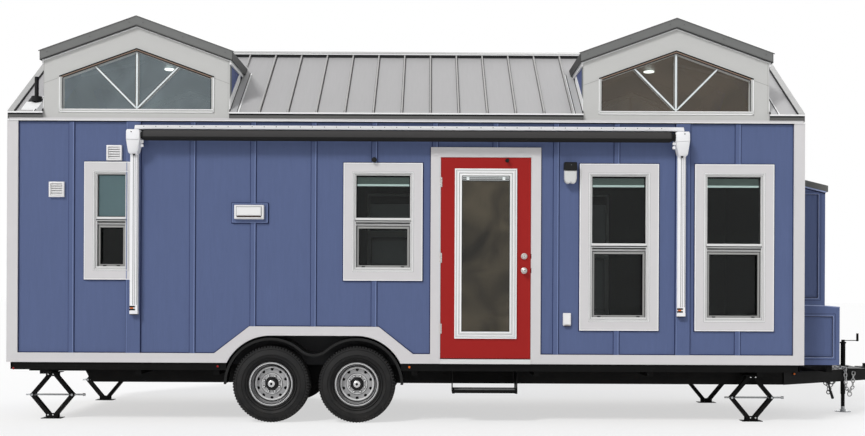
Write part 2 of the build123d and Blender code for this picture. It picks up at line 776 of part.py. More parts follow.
eave_low = eave_height - fascia
roof_outline = []
for side, order in ((-1, 1), (1, -1)):
    edge = [(y_at(side, half_width - wall), shoulder_z), (y_at(side, half_width - wall), wall_top),
            (y_at(side, half_width), wall_top), (y_at(side, half_width), eave_low),
            (y_at(side, half_roof), eave_low), (y_at(side, half_roof), eave_height)]
    roof_outline += edge[::order]
    roof_outline += [(mid_y, main_ridge)] if side == -1 else [(mid_y, ridge_under)]
roof_ends = (rear - rake_overhang, front + rake_overhang)
roof_spans = ((roof_ends[0], dormer_centres[0]), dormer_centres, (dormer_centres[1], roof_ends[1]))
with BuildPart() as main_roof:
    for x0, x1 in roof_spans:
        slab(roof_outline, "x", x0, x1)
    for x in dormer_centres:
        slab(roof_plan(x, dormer_half, half_roof + 1), "z", wall_top - 1, main_ridge + 1,
             mode=Mode.SUBTRACT)
keep(main_roof, "main_roof")

with BuildPart() as dormer_roofs:
    for x in dormer_centres:
        edge = dormer_z(dormer_roof_half)
        slab([(x - dormer_roof_half, edge - dormer_roof_depth), (x - dormer_roof_half, edge),
              (x, dormer_ridge), (x + dormer_roof_half, edge),
              (x + dormer_roof_half, edge - dormer_roof_depth), (x, dormer_ridge - dormer_roof_depth)],
             "y", mid_y - half_roof, mid_y + half_roof)
        for way in sides:
            end = x + way * (dormer_roof_half + 1)
            reach = valley_y(dormer_roof_half + 1)
            slab([(x + way * valley_head, mid_y), (end, mid_y - reach), (end, mid_y + reach)], "z",
                 dormer_ridge - 700, dormer_ridge + 10, mode=Mode.SUBTRACT)
            x0, x1 = sorted((x + way * (dormer_half - seat), end))
            slab([(y_at(-1, half_roof), eave_height + seat), (mid_y, main_ridge + seat),
                  (y_at(1, half_roof), eave_height + seat)], "x", x0, x1, mode=Mode.SUBTRACT)
keep(dormer_roofs, "dormer_roofs")


def tent(half, peak, pitch, thick):
    """Section of a thin cap folded over a ridge, as (across, height) from the ridge's line."""
    low = peak - pitch * half
    return [(-half, low), (0, peak), (half, low), (half, low + thick), (0, peak + thick),
            (-half, low + thick)]


with BuildPart() as roof_flashing:
    lift = seam_height + seat
    caps = ((rear + 70, dormer_centres[0] - valley_head - 60),
            (dormer_centres[0] + valley_head + 60, dormer_centres[1] - valley_head - 60),
            (dormer_centres[1] + valley_head + 60, front - 70))
    for x0, x1 in caps:
        slab([(mid_y + y, z) for y, z in tent(cap_reach, main_ridge + seat, main_pitch, cap_height)],
             "x", x0, x1)
    for x in dormer_centres:
        slab(roof_plan(x, dormer_half, half_roof), "z", main_ridge - 100, main_ridge + 100,
             mode=Mode.SUBTRACT)
    for x in dormer_centres:
        slab([(x + y, z) for y, z in tent(cap_reach, dormer_ridge + seat, dormer_pitch,
                                          cap_height - 3)],
             "y", mid_y - half_roof + 70, mid_y + half_roof - 70)
    for end, face in zip(sides, roof_ends):
        x0, x1 = sorted((face + end * metal, face - end * 62))
        cover = [(mid_y + y, z) for y, z in tent(half_roof, main_ridge + seat, main_pitch, cap_height)]
        slab(cover, "x", x0, x1)
        x0, x1 = sorted((face + end * metal, face + end * seat))
        skirt = [(mid_y + y, z) for y, z in tent(half_roof, main_ridge - rake_skirt, main_pitch,
                                                 rake_skirt + cap_height)]
        slab(skirt, "x", x0, x1)
keep(roof_flashing, "roof_flashing")

seam_xs = [mid_x + seam_shift + seam_pitch * k for k in range(-8, 9)]
with BuildPart() as roof_seams:
    for side in sides:
        for x in seam_xs:
            to_ridge = min(abs(x - centre) for centre in dormer_centres)
            if to_ridge < valley_head + 60:
                continue
            start = half_roof if to_ridge > dormer_half + 20 else valley_y(to_ridge) - 25
            end = cap_reach + seat
            if start - end < 60:
                continue
            low = main_ridge - main_pitch * start
            high = main_ridge - main_pitch * end
            slab([(y_at(side, start), low + seat), (y_at(side, end), high + seat),
                  (y_at(side, end), high + seam_height), (y_at(side, start), low + seam_height)],
                 "x", x - seam_width / 2, x + seam_width / 2)
keep(roof_seams, "roof_seams")

trim_depth = 88
eave_runs = ((roof_ends[0], dormer_centres[0] - dormer_half),
             (dormer_centres[0] + dormer_half, dormer_centres[1] - dormer_half),
             (dormer_centres[1] + dormer_half, roof_ends[1]))
with BuildPart() as roof_edge_trim:
    for side in sides:
        y0, y1 = across(side, half_roof + seat, half_roof + metal)
        for x0, x1 in eave_runs:
            block(x0, x1, y0, y1, eave_low - metal, eave_height + seat)
        for x in dormer_centres:
            strip = [(x + away, z) for away, z in tent(dormer_roof_half, dormer_ridge - trim_depth,
                                                       dormer_pitch, trim_depth + 10)]
            slab(strip, "y", y0, y1)
            y2, y3 = across(side, half_roof - 60, half_roof + metal)
            strip = [(x + away, z) for away, z in tent(dormer_roof_half, dormer_ridge + seat,
                                                       dormer_pitch, 10 - seat)]
            slab(strip, "y", y2, y3)
keep(roof_edge_trim, "roof_edge_trim")

pipe_x = rear + 213
pipe_radius = 21
pipe_away = 1118
with BuildPart() as roof_vent:
    y = y_at(-1, pipe_away)
    z = main_ridge - main_pitch * pipe_away
    rod((pipe_x, y, z + 8), (pipe_x, y, z + 262), pipe_radius)
    rod((pipe_x, y, z + 8), (pipe_x, y, z + 60), 52)
    rod((pipe_x, y, z - 60), (pipe_x, y, z + 60), 30)
    slab([(y - 95, z - 95 * main_pitch + seat), (y + 95, z + 95 * main_pitch + seat),
          (y + 95, z + 95 * main_pitch + 9), (y - 95, z - 95 * main_pitch + 9)], "x",
         pipe_x - 90, pipe_x + 50)
    slab([(mid_y - half_roof, eave_height + seat), (mid_y, main_ridge + seat), (mid_y, 0),
          (mid_y - half_roof, 0)], "x", pipe_x - 300, pipe_x + 300, mode=Mode.SUBTRACT)
keep(roof_vent, "roof_vent")

# ---------------------------------------------------------------- trim boards
board_top = wall_top - 2
frieze_low = wall_top + 14
with BuildPart() as corner_boards:
    for side in sides:
        for end, face in ((-1, rear), (1, front)):
            x0, x1 = sorted((face + end * board, face - end * board_width))
            y0, y1 = across(side, half_width + seat, half_width + board)
            block(x0, x1, y0, y1, deck_top, frieze_low - seat)
            x0, x1 = sorted((face + end * board, face + end * seat))
            y0, y1 = across(side, half_width - board_width, half_width + board)
            block(x0, x1, y0, y1, deck_top, board_top)
keep(corner_boards, "corner_boards")

skirt_high = 96
arch_foot = (arch_x[0] - 75, arch_x[1] + 75)
casing_x = (door_left - door_margin - casing, door_right + door_margin + casing)
inner_rear = rear + board_width + seat
inner_front = front - board_width - seat
with BuildPart() as band_boards:
    for side in sides:
        y0, y1 = across(side, half_width + seat, half_width + board)
        runs = [(inner_rear, arch_foot[0] - seat), (arch_foot[1] + seat, inner_front)]
        if side == -1:
            runs = [runs[0], (arch_foot[1] + seat, casing_x[0] - seat), (casing_x[1] + seat, inner_front)]
        for x0, x1 in runs:
            block(x0, x1, y0, y1, deck_top, deck_top + skirt_high)
        y0, y1 = across(side, half_width + seat, half_width + overhang)
        block(rear, front, y0, y1, frieze_low, eave_low - metal - seat)
    for end, face in ((-1, rear), (1, front)):
        x0, x1 = sorted((face + end * seat, face + end * board))
        reach = half_width - board_width - seat
        block(x0, x1, y_at(-1, reach), y_at(1, reach), deck_top, deck_top + skirt_high)
keep(band_boards, "band_boards")


def casing_round(window, side):
    """Flat trim boards round a window."""
    y0, y1 = across(side, half_width + seat, half_width + board)
    window_hole(window, y0, y1, grow=casing, mode=Mode.ADD)
    window_hole(window, y0 - 1, y1 + 1)


arch_shoulder = (axles_x[0] - 216, axles_x[1] + 224)
arch_high = tyre_radius + arch_radius + 92
with BuildPart() as opening_trim:
    for window in windows_near:
        casing_round(window, -1)
    for window in windows_far:
        casing_round(window, 1)
    for side in sides:
        y0, y1 = across(side, half_width + seat, half_width + board)
        slab([(arch_foot[0], deck_top), (arch_foot[0], deck_top + skirt_high),
              (arch_shoulder[0], arch_high), (arch_shoulder[1], arch_high),
              (arch_foot[1], deck_top + skirt_high), (arch_foot[1], deck_top)], "y", y0, y1)
        arch_cut(y0 - 1, y1 + 1, arch_radius)
    y0, y1 = across(-1, half_width + seat, half_width + board)
    block(*casing_x, y0, y1, deck_top, door_top + door_margin + casing)
    block(door_left - door_margin, door_right + door_margin, y0 - 1, y1 + 1, deck_top - 1,
          door_top + door_margin, mode=Mode.SUBTRACT)
keep(opening_trim, "opening_trim")

# ---------------------------------------------------------------- windows
sash_wall = 26
screen_step = 20        # the lower glass, inset from the upper one
meeting = 0.5           # the upper sash's share of the height above the meeting rail
with BuildPart() as window_frames:
    for side, windows in ((-1, windows_near), (1, windows_far)):
        for centre, width, sill, head in windows:
            x = rear + centre
            half = width / 2 - seat
            y0, y1 = across(side, half_width - 75, half_width + 6)
            block(x - half, x + half, y0, y1, sill + seat, head - seat)
            middle = sill + meeting * (head - sill)
            for z0, z1, inset in ((middle + meeting_half, head - head_sash, sash_wall),
                                  (sill + sash + 6, middle - meeting_half, sash_wall + screen_step)):
                block(x - half + inset, x + half - inset, y0 - 1, y1 + 1, z0, z1, mode=Mode.SUBTRACT)
            step0, step1 = across(side, half_width - 22, half_width + 7)
            block(x - half + sash_wall, x + half - sash_wall, step0, step1, sill + sash - 10,
                  middle - 2, mode=Mode.SUBTRACT)
    for side in sides:
        y0, y1 = across(side, half_width - 80, half_width + 4)
        for x in dormer_centres:
            slab(pentagon(x, frame_half - seat, frame_low + seat, frame_side - seat, frame_peak - seat),
                 "y", y0, y1)
            slab(pentagon(x, dormer_glass_half, dormer_glass_sill, dormer_glass_side, glass_peak),
                 "y", y0, y1, mode=Mode.SUBTRACT)
            y2, y3 = across(side, half_width - 60, half_width - 12)
            bar_top = dormer_glass_side + dormer_pitch * dormer_glass_half / 2
            block(x - mullion / 2, x + mullion / 2, y2, y3, dormer_glass_sill - 2, glass_peak)
            for way in sides:
                foot = (x, dormer_glass_sill + 6)
                tip = (x + way * 425, glass_peak - dormer_pitch * 425 + 8)
                run = hypot(tip[0] - foot[0], tip[1] - foot[1])
                nx, nz = -(tip[1] - foot[1]) / run * mullion / 2, (tip[0] - foot[0]) / run * mullion / 2
                slab([(foot[0] + nx, foot[1] + nz), (tip[0] + nx, tip[1] + nz),
                      (tip[0] - nx, tip[1] - nz), (foot[0] - nx, foot[1] - nz)], "y", y2, y3)
keep(window_frames, "window_frames")

with BuildPart() as window_glass:
    for side, windows in ((-1, windows_near), (1, windows_far)):
        for centre, width, sill, head in windows:
            x = rear + centre
            middle = sill + meeting * (head - sill)
            half = width / 2 - seat
            y0, y1 = across(side, half_width - 40, half_width - 40 + glass)
            block(x - half + sash_wall + seat, x + half - sash_wall - seat, y0, y1,
                  middle + meeting_half + seat, head - head_sash - seat)
            y0, y1 = across(side, half_width - 60, half_width - 60 + glass)
            inset = sash_wall + screen_step + seat
            block(x - half + inset, x + half - inset, y0, y1, sill + sash + 6 + seat,
                  middle - meeting_half - seat)
    for side in sides:
        y0, y1 = across(side, half_width - 68, half_width - 68 + glass)
        for x in dormer_centres:
            slab(pentagon(x, dormer_glass_half - seat, dormer_glass_sill + seat,
                          dormer_glass_side - seat, glass_peak - seat), "y", y0, y1)
keep(window_glass, "window_glass")

# ---------------------------------------------------------------- door
stop = 10
stop_face = half_width - 7 - door_thickness
with BuildPart() as door_frame:
    y0, y1 = across(-1, half_width - wall, half_width)
    block(frame_hole[0] + seat, frame_hole[1] - seat, y0, y1, deck_top + seat, frame_head - seat)
    block(door_left - door_margin, door_right + door_gap, y0 - 1, y1 + 1, floor_top,
          door_top + door_gap, mode=Mode.SUBTRACT)
    y0, y1 = across(-1, half_width - wall, stop_face)
    jambs = (door_left - door_margin, door_right + door_gap)
    head = door_top + door_gap
    for x0, x1, z0 in ((jambs[0], door_left + stop, floor_top), (door_right - stop, jambs[1], floor_top),
                       (*jambs, door_top - stop)):
        block(x0, x1, y0, y1, z0, head)
    y0, y1 = across(-1, half_width - 1, half_width + board + 16)
    block(door_left - 2, door_right + 2, y0, y1, deck_top + seat, floor_top)
keep(door_frame, "door_frame")

leaf_out = half_width + board - 2
leaf_y = across(-1, leaf_out - door_thickness, leaf_out)
lite_x = (rear + door_centre - door_lite_width / 2, rear + door_centre + door_lite_width / 2)
lite_z = (door_bottom + door_lite_low, door_top - door_lite_head)
with BuildPart() as door_leaf:
    block(door_left, door_right, *leaf_y, door_bottom, door_top)
    block(*lite_x, *leaf_y, *lite_z, mode=Mode.SUBTRACT)
keep(door_leaf, "door_leaf")

with BuildPart() as door_lite:
    y0, y1 = leaf_y
    block(lite_x[0] + seat, lite_x[1] - seat, y0, y1, lite_z[0] + seat, lite_z[1] - seat)
    for y2, y3 in ((y0 - 12, y0 - seat), (y1 + seat, y1 + 12)):
        block(lite_x[0] - 14, lite_x[1] + 14, y2, y3, lite_z[0] - 14, lite_z[1] + 14)
    block(lite_x[0] + 14, lite_x[1] - 14, y0 - 1, y1 + 1, lite_z[0] + 14, lite_z[1] - 14,
          mode=Mode.SUBTRACT)
    block(lite_x[0] + 1, lite_x[1] - 1, y0 - 13, y1 + 13, lite_z[0] + 1, lite_z[1] - 1,
          mode=Mode.ADD)
    edge = lite_frame - 14
    block(lite_x[0] + edge, lite_x[1] - edge, y0 - 14, y1 + 14, lite_z[0] + edge, lite_z[1] - edge,
          mode=Mode.SUBTRACT)
keep(door_lite, "door_lite")

with BuildPart() as door_glass:
    y = (leaf_y[0] + leaf_y[1]) / 2
    block(lite_x[0] + edge + seat, lite_x[1] - edge - seat, y - glass / 2, y + glass / 2,
          lite_z[0] + edge + seat, lite_z[1] - edge - seat)
keep(door_glass, "door_glass")

knob_x = door_right - 66
with BuildPart() as door_hardware:
    for height, radius in ((knob_height, 26), (bolt_height, 27)):
        z = door_bottom + height
        rod((knob_x, leaf_y[0] - seat, z), (knob_x, leaf_y[0] - 12, z), 33)
        rod((knob_x, leaf_y[1] + seat, z), (knob_x, leaf_y[1] + 12, z), 33)
        if height == knob_height:
            rod((knob_x, leaf_y[0] - 10, z), (knob_x, leaf_y[0] - 40, z), 12)
            rod((knob_x, leaf_y[0] - 34, z), (knob_x, leaf_y[0] - 62, z), radius)
            rod((knob_x, leaf_y[1] + 10, z), (knob_x, leaf_y[1] + 40, z), 12)
            rod((knob_x, leaf_y[1] + 34, z), (knob_x, leaf_y[1] + 62, z), radius)
        else:
            rod((knob_x, leaf_y[0] - 10, z), (knob_x, leaf_y[0] - 26, z), 21)
            block(knob_x - 16, knob_x + 16, leaf_y[1] + 10, leaf_y[1] + 28, z - 5, z + 5)
    hold_z = door_top - 30
    hold_x = hinge_x + holdback_reach
    rod((hold_x, leaf_y[0] - seat, hold_z), (hold_x, leaf_y[0] - holdback_length, hold_z), 12)
    for z in (door_bottom + 300, door_bottom + door_height / 2, door_top - 250):
        rod((hinge_x, hinge_y, z - hinge_length / 2), (hinge_x, hinge_y, z + hinge_length / 2),
            hinge_radius - seat)
        block(hinge_x, door_left + 36, leaf_y[0] - 2.5, leaf_y[0] - seat, z - hinge_length / 2,
              z + hinge_length / 2)
keep(door_hardware, "door_hardware")

# ---------------------------------------------------------------- awning
awning_x = rear + awning_centre
arm_xs = (awning_x - arm_spacing / 2, awning_x + arm_spacing / 2)
board_face = half_width + board
with BuildPart() as mounting_boards:
    y0, y1 = across(-1, half_width + seat, board_face)
    for x in arm_xs:
        block(x - 71, x + 71, y0, y1, deck_top + skirt_high + seat, board_top)
    block(rear + 2256, rear + 2618, y0, y1, 2027, 2222)
    window_hole(bath_window, y0 - 1, y1 + 1, grow=casing + seat)
keep(mounting_boards, "mounting_boards")

with BuildPart() as awning_frame:
    for x in arm_xs:
        y0, y1 = across(-1, board_face + seat, board_face + 46)
        block(x - arm_width / 2, x + arm_width / 2, y0, y1, arm_low, arm_head_low + 10)
        block(x - 12, x + 12, y0 - 1, y0 + 12, arm_low + 60, arm_head_low - 40, mode=Mode.SUBTRACT)
        deep = near - awning_reach
        back = near - board - seat
        slab([(back, arm_head_low), (back, arm_head_high), (deep + 55, arm_head_high),
              (deep, arm_head_high - 60), (deep, arm_head_low + 55), (deep + 45, arm_head_low)], "x",
             x - head_width / 2, x + head_width / 2)
    y0, y1 = across(-1, half_width + overhang + seat, half_width + overhang + 20)
    inner = (arm_xs[0] + head_width / 2 + seat, arm_xs[1] - head_width / 2 - seat)
    rail_low = arm_head_high + 3
    block(*inner, y0, y1, rail_low, rail_low + rail_depth)
    y0, y1 = across(-1, half_width + seat, half_width + overhang + 1)
    block(*inner, y0, y1, rail_low + rail_depth / 4, rail_low + rail_depth * 3 / 4)
keep(awning_frame, "awning_frame")

with BuildPart() as awning_roll:
    y = near - awning_reach + roll_radius
    rod((inner[0] + 43, y, roll_height), (inner[1] - 43, y, roll_height), roll_radius)
    rod((inner[0], y, roll_height), (inner[1], y, roll_height), 26)
keep(awning_roll, "awning_roll")

# ---------------------------------------------------------------- fittings on the walls
louvre = 154
louvre_gap = 14         # upper louvre above the bathroom window's casing
high_louvre = window_head + casing + louvre_gap + louvre / 2
low_louvre = 2355
with BuildPart() as wall_vents:
    for x, z in ((rear + 1062, high_louvre), (rear + 481, low_louvre)):
        y0, y1 = across(-1, half_width + seat, half_width + 26)
        block(x - louvre / 2, x + louvre / 2, y0, y1, z - louvre / 2, z + louvre / 2)
        for k in range(5):
            low = z - louvre / 2 + 18 + 24 * k
            slab([(y0 - 1, low), (y0 + 14, low + 12), (y0 + 14, low + 16), (y0 - 1, low + 14)], "x",
                 x - 62, x + 62, mode=Mode.SUBTRACT)
    hood_x = rear + 2433
    out = near - board - seat
    slab([(out, 2062), (out, 2206), (out - 40, 2206), (out - 85, 2120), (out - 85, 2062)], "x",
         hood_x - 157, hood_x + 157)
    slab([(out - 8, 2061), (out - 8, 2150), (out - 77, 2110), (out - 77, 2061)], "x",
         hood_x - 149, hood_x + 149, mode=Mode.SUBTRACT)
    y0, y1 = across(-1, half_width + seat, half_width + 24)
    block(rear + 5609, rear + 5690, y0, y1, 998, 1126)
keep(wall_vents, "wall_vents")

light_x = rear + 5673
light_top = window_head + 109
light_cap = light_top - 84
light_low = light_top - 216
with BuildPart() as porch_light:
    y0, y1 = across(-1, half_width + seat, half_width + 28)
    block(light_x - 60, light_x + 60, y0, y1, light_low, light_top)
    y0, y1 = across(-1, half_width + 26, half_width + 92)
    block(light_x - 64, light_x + 64, y0, y1, light_cap, light_top)
    block(light_x - 50, light_x + 50, y0 + 6, y1, light_low + 4, light_cap + 1)
    catch_x = hinge_x - holdback_reach
    y0, y1 = across(-1, half_width + seat, half_width + board + holdback_length)
    rod((catch_x, y0, hold_z), (catch_x, y1, hold_z), 12)
keep(porch_light, "porch_light")

# ---------------------------------------------------------------- cabinets on the tongue
cab_half = cabinet_width / 2
cabinet_back = front + board + seat
upper_x = front + upper_cabinet_depth
lower_x = front + lower_cabinet_depth
upper_body = upper_cabinet_high - upper_lid
upper_eave = upper_body - upper_lid_slope * (upper_x - cabinet_back)
shelf_z = lower_cabinet_high - lower_lid - lower_lid_slope * (lower_x - upper_x)
panel_edge = 70
with BuildPart() as tongue_cabinets:
    y0, y1 = y_at(-1, cab_half), y_at(1, cab_half)
    slab([(cabinet_back, lower_cabinet_low), (cabinet_back, lower_cabinet_high), (upper_x, lower_cabinet_high),
          (upper_x, shelf_z), (lower_x, shelf_z), (lower_x, lower_cabinet_low)], "y", y0, y1)
    slab([(cabinet_back, lower_cabinet_high + seat), (upper_x, lower_cabinet_high + seat),
          (upper_x, upper_eave), (cabinet_back, upper_body)], "y", y0, y1)
    for x1, z0, z1 in ((lower_x, lower_cabinet_low + 80, lower_cabinet_high - 110),
                       (upper_x, lower_cabinet_high + 80, upper_eave - 30)):
        for side in sides:
            y2, y3 = across(side, cab_half - 12, cab_half + 1)
            block(cabinet_back + panel_edge, x1 - panel_edge, y2, y3, z0, z1, mode=Mode.SUBTRACT)
keep(tongue_cabinets, "tongue_cabinets")

lid_overhang = 22
with BuildPart() as cabinet_lids:
    y0, y1 = y_at(-1, cab_half), y_at(1, cab_half)
    x0 = upper_x + seat
    z = shelf_z + seat
    slab([(x0, z), (x0, z + lower_lid + lower_lid_slope * (lower_x - x0)), (lower_x, z + lower_lid),
          (lower_x, z)], "y", y0, y1)
    y0, y1 = y_at(-1, cab_half + lid_overhang), y_at(1, cab_half + lid_overhang)
    x1 = upper_x + lid_overhang
    z = upper_body + seat
    low = z - upper_lid_slope * (x1 - cabinet_back)
    slab([(cabinet_back, z), (cabinet_back, z + upper_lid), (x1, low + upper_lid), (x1, low)], "y", y0, y1)
keep(cabinet_lids, "cabinet_lids")
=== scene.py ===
"""Looks of a tiny house on a tandem-axle trailer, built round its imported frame.

Metres throughout: +X runs to the tongue, -Y is the door side and +Z is up.
"""

import json
import logging
import math
from dataclasses import dataclass, field
from enum import Enum
from typing import Callable, Iterable, Sequence

import bmesh
import bpy
from mathutils import Matrix, Vector

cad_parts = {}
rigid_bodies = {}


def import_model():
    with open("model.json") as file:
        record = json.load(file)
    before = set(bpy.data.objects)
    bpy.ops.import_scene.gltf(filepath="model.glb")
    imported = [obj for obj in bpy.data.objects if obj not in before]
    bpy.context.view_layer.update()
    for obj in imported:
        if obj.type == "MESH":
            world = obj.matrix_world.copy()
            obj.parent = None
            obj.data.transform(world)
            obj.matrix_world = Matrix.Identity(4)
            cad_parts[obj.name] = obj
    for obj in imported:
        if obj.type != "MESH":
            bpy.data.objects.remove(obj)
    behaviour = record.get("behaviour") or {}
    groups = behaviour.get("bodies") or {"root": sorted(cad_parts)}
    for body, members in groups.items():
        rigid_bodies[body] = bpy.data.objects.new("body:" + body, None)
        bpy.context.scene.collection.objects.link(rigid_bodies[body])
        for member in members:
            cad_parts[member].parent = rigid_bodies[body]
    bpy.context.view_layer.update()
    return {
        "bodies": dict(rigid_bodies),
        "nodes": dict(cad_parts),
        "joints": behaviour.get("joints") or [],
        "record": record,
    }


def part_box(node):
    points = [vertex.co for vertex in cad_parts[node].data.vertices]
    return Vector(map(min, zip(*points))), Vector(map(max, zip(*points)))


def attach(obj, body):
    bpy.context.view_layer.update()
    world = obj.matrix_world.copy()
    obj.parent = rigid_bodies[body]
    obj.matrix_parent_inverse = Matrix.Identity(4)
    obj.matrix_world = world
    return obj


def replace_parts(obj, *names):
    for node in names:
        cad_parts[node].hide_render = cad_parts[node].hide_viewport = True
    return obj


LOG = logging.getLogger("tiny_house")
Colour = tuple[int, int, int]
Point = tuple[float, float, float]
Flat = tuple[float, float]
Piece = bpy.types.Object
Pieces = list[bpy.types.Object]
Socket = bpy.types.NodeSocket
Node = bpy.types.Node
FaceTest = Callable[[bmesh.types.BMFace], bool]
DOORWARD = (0.0, -1.0, 0.0)


class Side(Enum):
    """The two long walls, by the direction that each one faces along Y."""

    NEAR = -1
    FAR = 1


class Body(Enum):
    """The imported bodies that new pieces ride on, apart from the wheels."""

    HOUSE = "house"
    DOOR = "front_door"
    STEP = "step_body"


# ---------------------------------------------------------------- modelling by hand
def clear() -> None:
    """Deselects everything."""
    bpy.ops.object.select_all(action="DESELECT")


def choose(obj: Piece) -> None:
    """Selects one object alone and makes it active."""
    clear()
    obj.select_set(True)
    bpy.context.view_layer.objects.active = obj


def editing(obj: Piece) -> None:
    """Opens one object for editing with all of its faces selected."""
    choose(obj)
    bpy.ops.object.mode_set(mode="EDIT")
    bpy.ops.mesh.select_mode(type="FACE")
    bpy.ops.mesh.select_all(action="SELECT")


def done() -> None:
    """Goes back to object mode."""
    bpy.ops.object.mode_set(mode="OBJECT")


def settle() -> Piece:
    """Applies the active object's place, turn and size to its mesh, and gives the object back."""
    bpy.ops.object.transform_apply(location=True, rotation=True, scale=True)
    return bpy.context.object


def face_outward() -> None:
    """Turns every face of the open mesh outward."""
    bpy.ops.mesh.select_all(action="SELECT")
    bpy.ops.mesh.normals_make_consistent(inside=False)


def facing(way: Sequence[float]) -> FaceTest:
    """A test for faces that look one way."""
    return lambda face: face.normal.dot(Vector(way)) > 0.9


def eased(obj: Piece, wanted: FaceTest, width: float, steps: int = 2) -> Piece:
    """A piece with the edges round some of its faces eased.

    Args:
        obj: the piece.
        wanted: the test for the faces.
        width: the width of the eased edges.
        steps: the number of faces across an edge.

    Returns:
        The piece.
    """
    editing(obj)
    bpy.ops.mesh.select_all(action="DESELECT")
    mesh = bmesh.from_edit_mesh(obj.data)
    for face in mesh.faces:
        face.select_set(wanted(face))
    bmesh.update_edit_mesh(obj.data)
    bpy.ops.mesh.bevel(offset=width, segments=steps, affect="EDGES")
    done()
    return obj


def pulled(obj: Piece, wanted: Callable[[bmesh.types.BMVert], bool], step: Point) -> Piece:
    """A piece with some of its corners moved.

    Args:
        obj: the piece.
        wanted: the test for the corners.
        step: how far they go.

    Returns:
        The piece.
    """
    editing(obj)
    bpy.ops.mesh.select_mode(type="VERT")
    bpy.ops.mesh.select_all(action="DESELECT")
    mesh = bmesh.from_edit_mesh(obj.data)
    for corner in mesh.verts:
        corner.select_set(wanted(corner))
    bmesh.update_edit_mesh(obj.data)
    bpy.ops.transform.translate(value=step)
    done()
    return obj


def box(low: Sequence[float], high: Sequence[float], bevel: float = 0.0) -> Piece:
    """A block between two opposite corners with eased edges.

    Args:
        low: one corner.
        high: the opposite corner.
        bevel: the width of the eased edges.

    Returns:
        The block.
    """
    clear()
    bpy.ops.mesh.primitive_cube_add(size=1, location=[(a + b) / 2 for a, b in zip(low, high)])
    bpy.context.object.scale = [abs(b - a) for a, b in zip(low, high)]
    obj = settle()
    return eased(obj, lambda face: True, bevel, 1) if bevel else obj


def rod(start: Point, end: Point, radius: float, bevel: float = 0.0, sides: int = 24) -> Piece:
    """A round or many-sided bar with eased ends.

    Args:
        start: the centre of one end.
        end: the centre of the other end.
        radius: its radius.
        bevel: the width of the eased end edges.
        sides: the number of sides.

    Returns:
        The bar.
    """
    clear()
    way = Vector(end) - Vector(start)
    bpy.ops.mesh.primitive_cylinder_add(vertices=sides, radius=radius, depth=way.length,
                                        location=(Vector(start) + Vector(end)) / 2,
                                        rotation=way.to_track_quat("Z", "Y").to_euler())
    obj = settle()
    return eased(obj, lambda face: abs(face.normal.dot(way.normalized())) > 0.9, bevel) if bevel else obj


def hoop(radius: float, thick: float, centre: Point = (0.0, 0.0, 0.0), turn: float = 0.0, sides: int = 24) -> Piece:
    """An upright ring of round bar.

    Args:
        radius: from its centre to the middle of the bar.
        thick: the bar's radius.
        centre: its centre.
        turn: its turn about Z, in radians.
        sides: the number of faces round it.

    Returns:
        The ring.
    """
    clear()
    bpy.ops.mesh.primitive_torus_add(major_segments=sides, minor_segments=8, major_radius=radius,
                                     minor_radius=thick, location=centre, rotation=(math.pi / 2, 0, turn))
    return settle()


def chain(points: Sequence[Point]) -> Piece:
    """A line of edges, drawn out corner by corner from one vertex.

    Args:
        points: its corners in order.

    Returns:
        The line, open for editing and all selected.
    """
    clear()
    bpy.ops.mesh.primitive_plane_add(size=0.01, location=points[0])
    obj = settle()
    editing(obj)
    bpy.ops.mesh.merge(type="CENTER")
    bpy.ops.mesh.select_mode(type="VERT")
    bpy.ops.mesh.select_all(action="SELECT")
    for a, b in zip(points, points[1:]):
        step = [q - p for p, q in zip(a, b)]
        bpy.ops.mesh.extrude_vertices_move(TRANSFORM_OT_translate={"value": step})
    bpy.ops.mesh.select_all(action="SELECT")
    return obj


def slab(points: Sequence[Point], way: Point, bevel: float = 0.0) -> Piece:
    """A flat outline pushed one way.

    Args:
        points: the outline's corners in order.
        way: how far and in which direction it is pushed.
        bevel: the width of the eased edges round the far face.

    Returns:
        The slab.
    """
    obj = chain(points)
    bpy.ops.mesh.edge_face_add()
    bpy.ops.mesh.extrude_region_move(TRANSFORM_OT_translate={"value": way})
    face_outward()
    done()
    return eased(obj, facing(Vector(way).normalized()), bevel, 1) if bevel else obj


def turned(points: Sequence[Flat], centre: Point, axis: Point, steps: int = 32) -> Piece:
    """A profile spun a full turn round an axis.

    Args:
        points: (radius, distance along the axis) in order.
        centre: the point on the axis that distances start from.
        axis: the axis, a level unit vector.
        steps: the number of faces round the turn.

    Returns:
        The turned piece.
    """
    chain([tuple(Vector(centre) + Vector((0, 0, radius)) + Vector(axis) * reach) for radius, reach in points])
    bpy.ops.mesh.spin(steps=steps, angle=math.tau, center=centre, axis=axis)
    bpy.ops.mesh.select_all(action="SELECT")
    bpy.ops.mesh.remove_doubles(threshold=0.00002)
    face_outward()
    done()
    return bpy.context.object


def ring(low: Flat, high: Flat, band: float, back: float, depth: float, bevel: float = 0.0) -> Piece:
    """An upright frame of flat bars that stands out towards -Y.

    Args:
        low: (x, z) of its outer lower corner.
        high: (x, z) of its outer upper corner.
        band: the width of its bars.
        back: the Y of its back face.
        depth: how far it stands out.
        bevel: the width of the eased front edges.

    Returns:
        The frame.
    """
    clear()
    middle = ((low[0] + high[0]) / 2, back, (low[1] + high[1]) / 2)
    bpy.ops.mesh.primitive_plane_add(size=1, location=middle, rotation=(math.pi / 2, 0, 0))
    bpy.context.object.scale = (high[0] - low[0], high[1] - low[1], 1)
    obj = settle()
    editing(obj)
    bpy.ops.mesh.inset(thickness=band)
    bpy.ops.mesh.delete(type="FACE")
    bpy.ops.mesh.select_all(action="SELECT")
    bpy.ops.mesh.extrude_region_move(TRANSFORM_OT_translate={"value": (0, -depth, 0)})
    face_outward()
    done()
    return eased(obj, facing(DOORWARD), bevel, 1) if bevel else obj


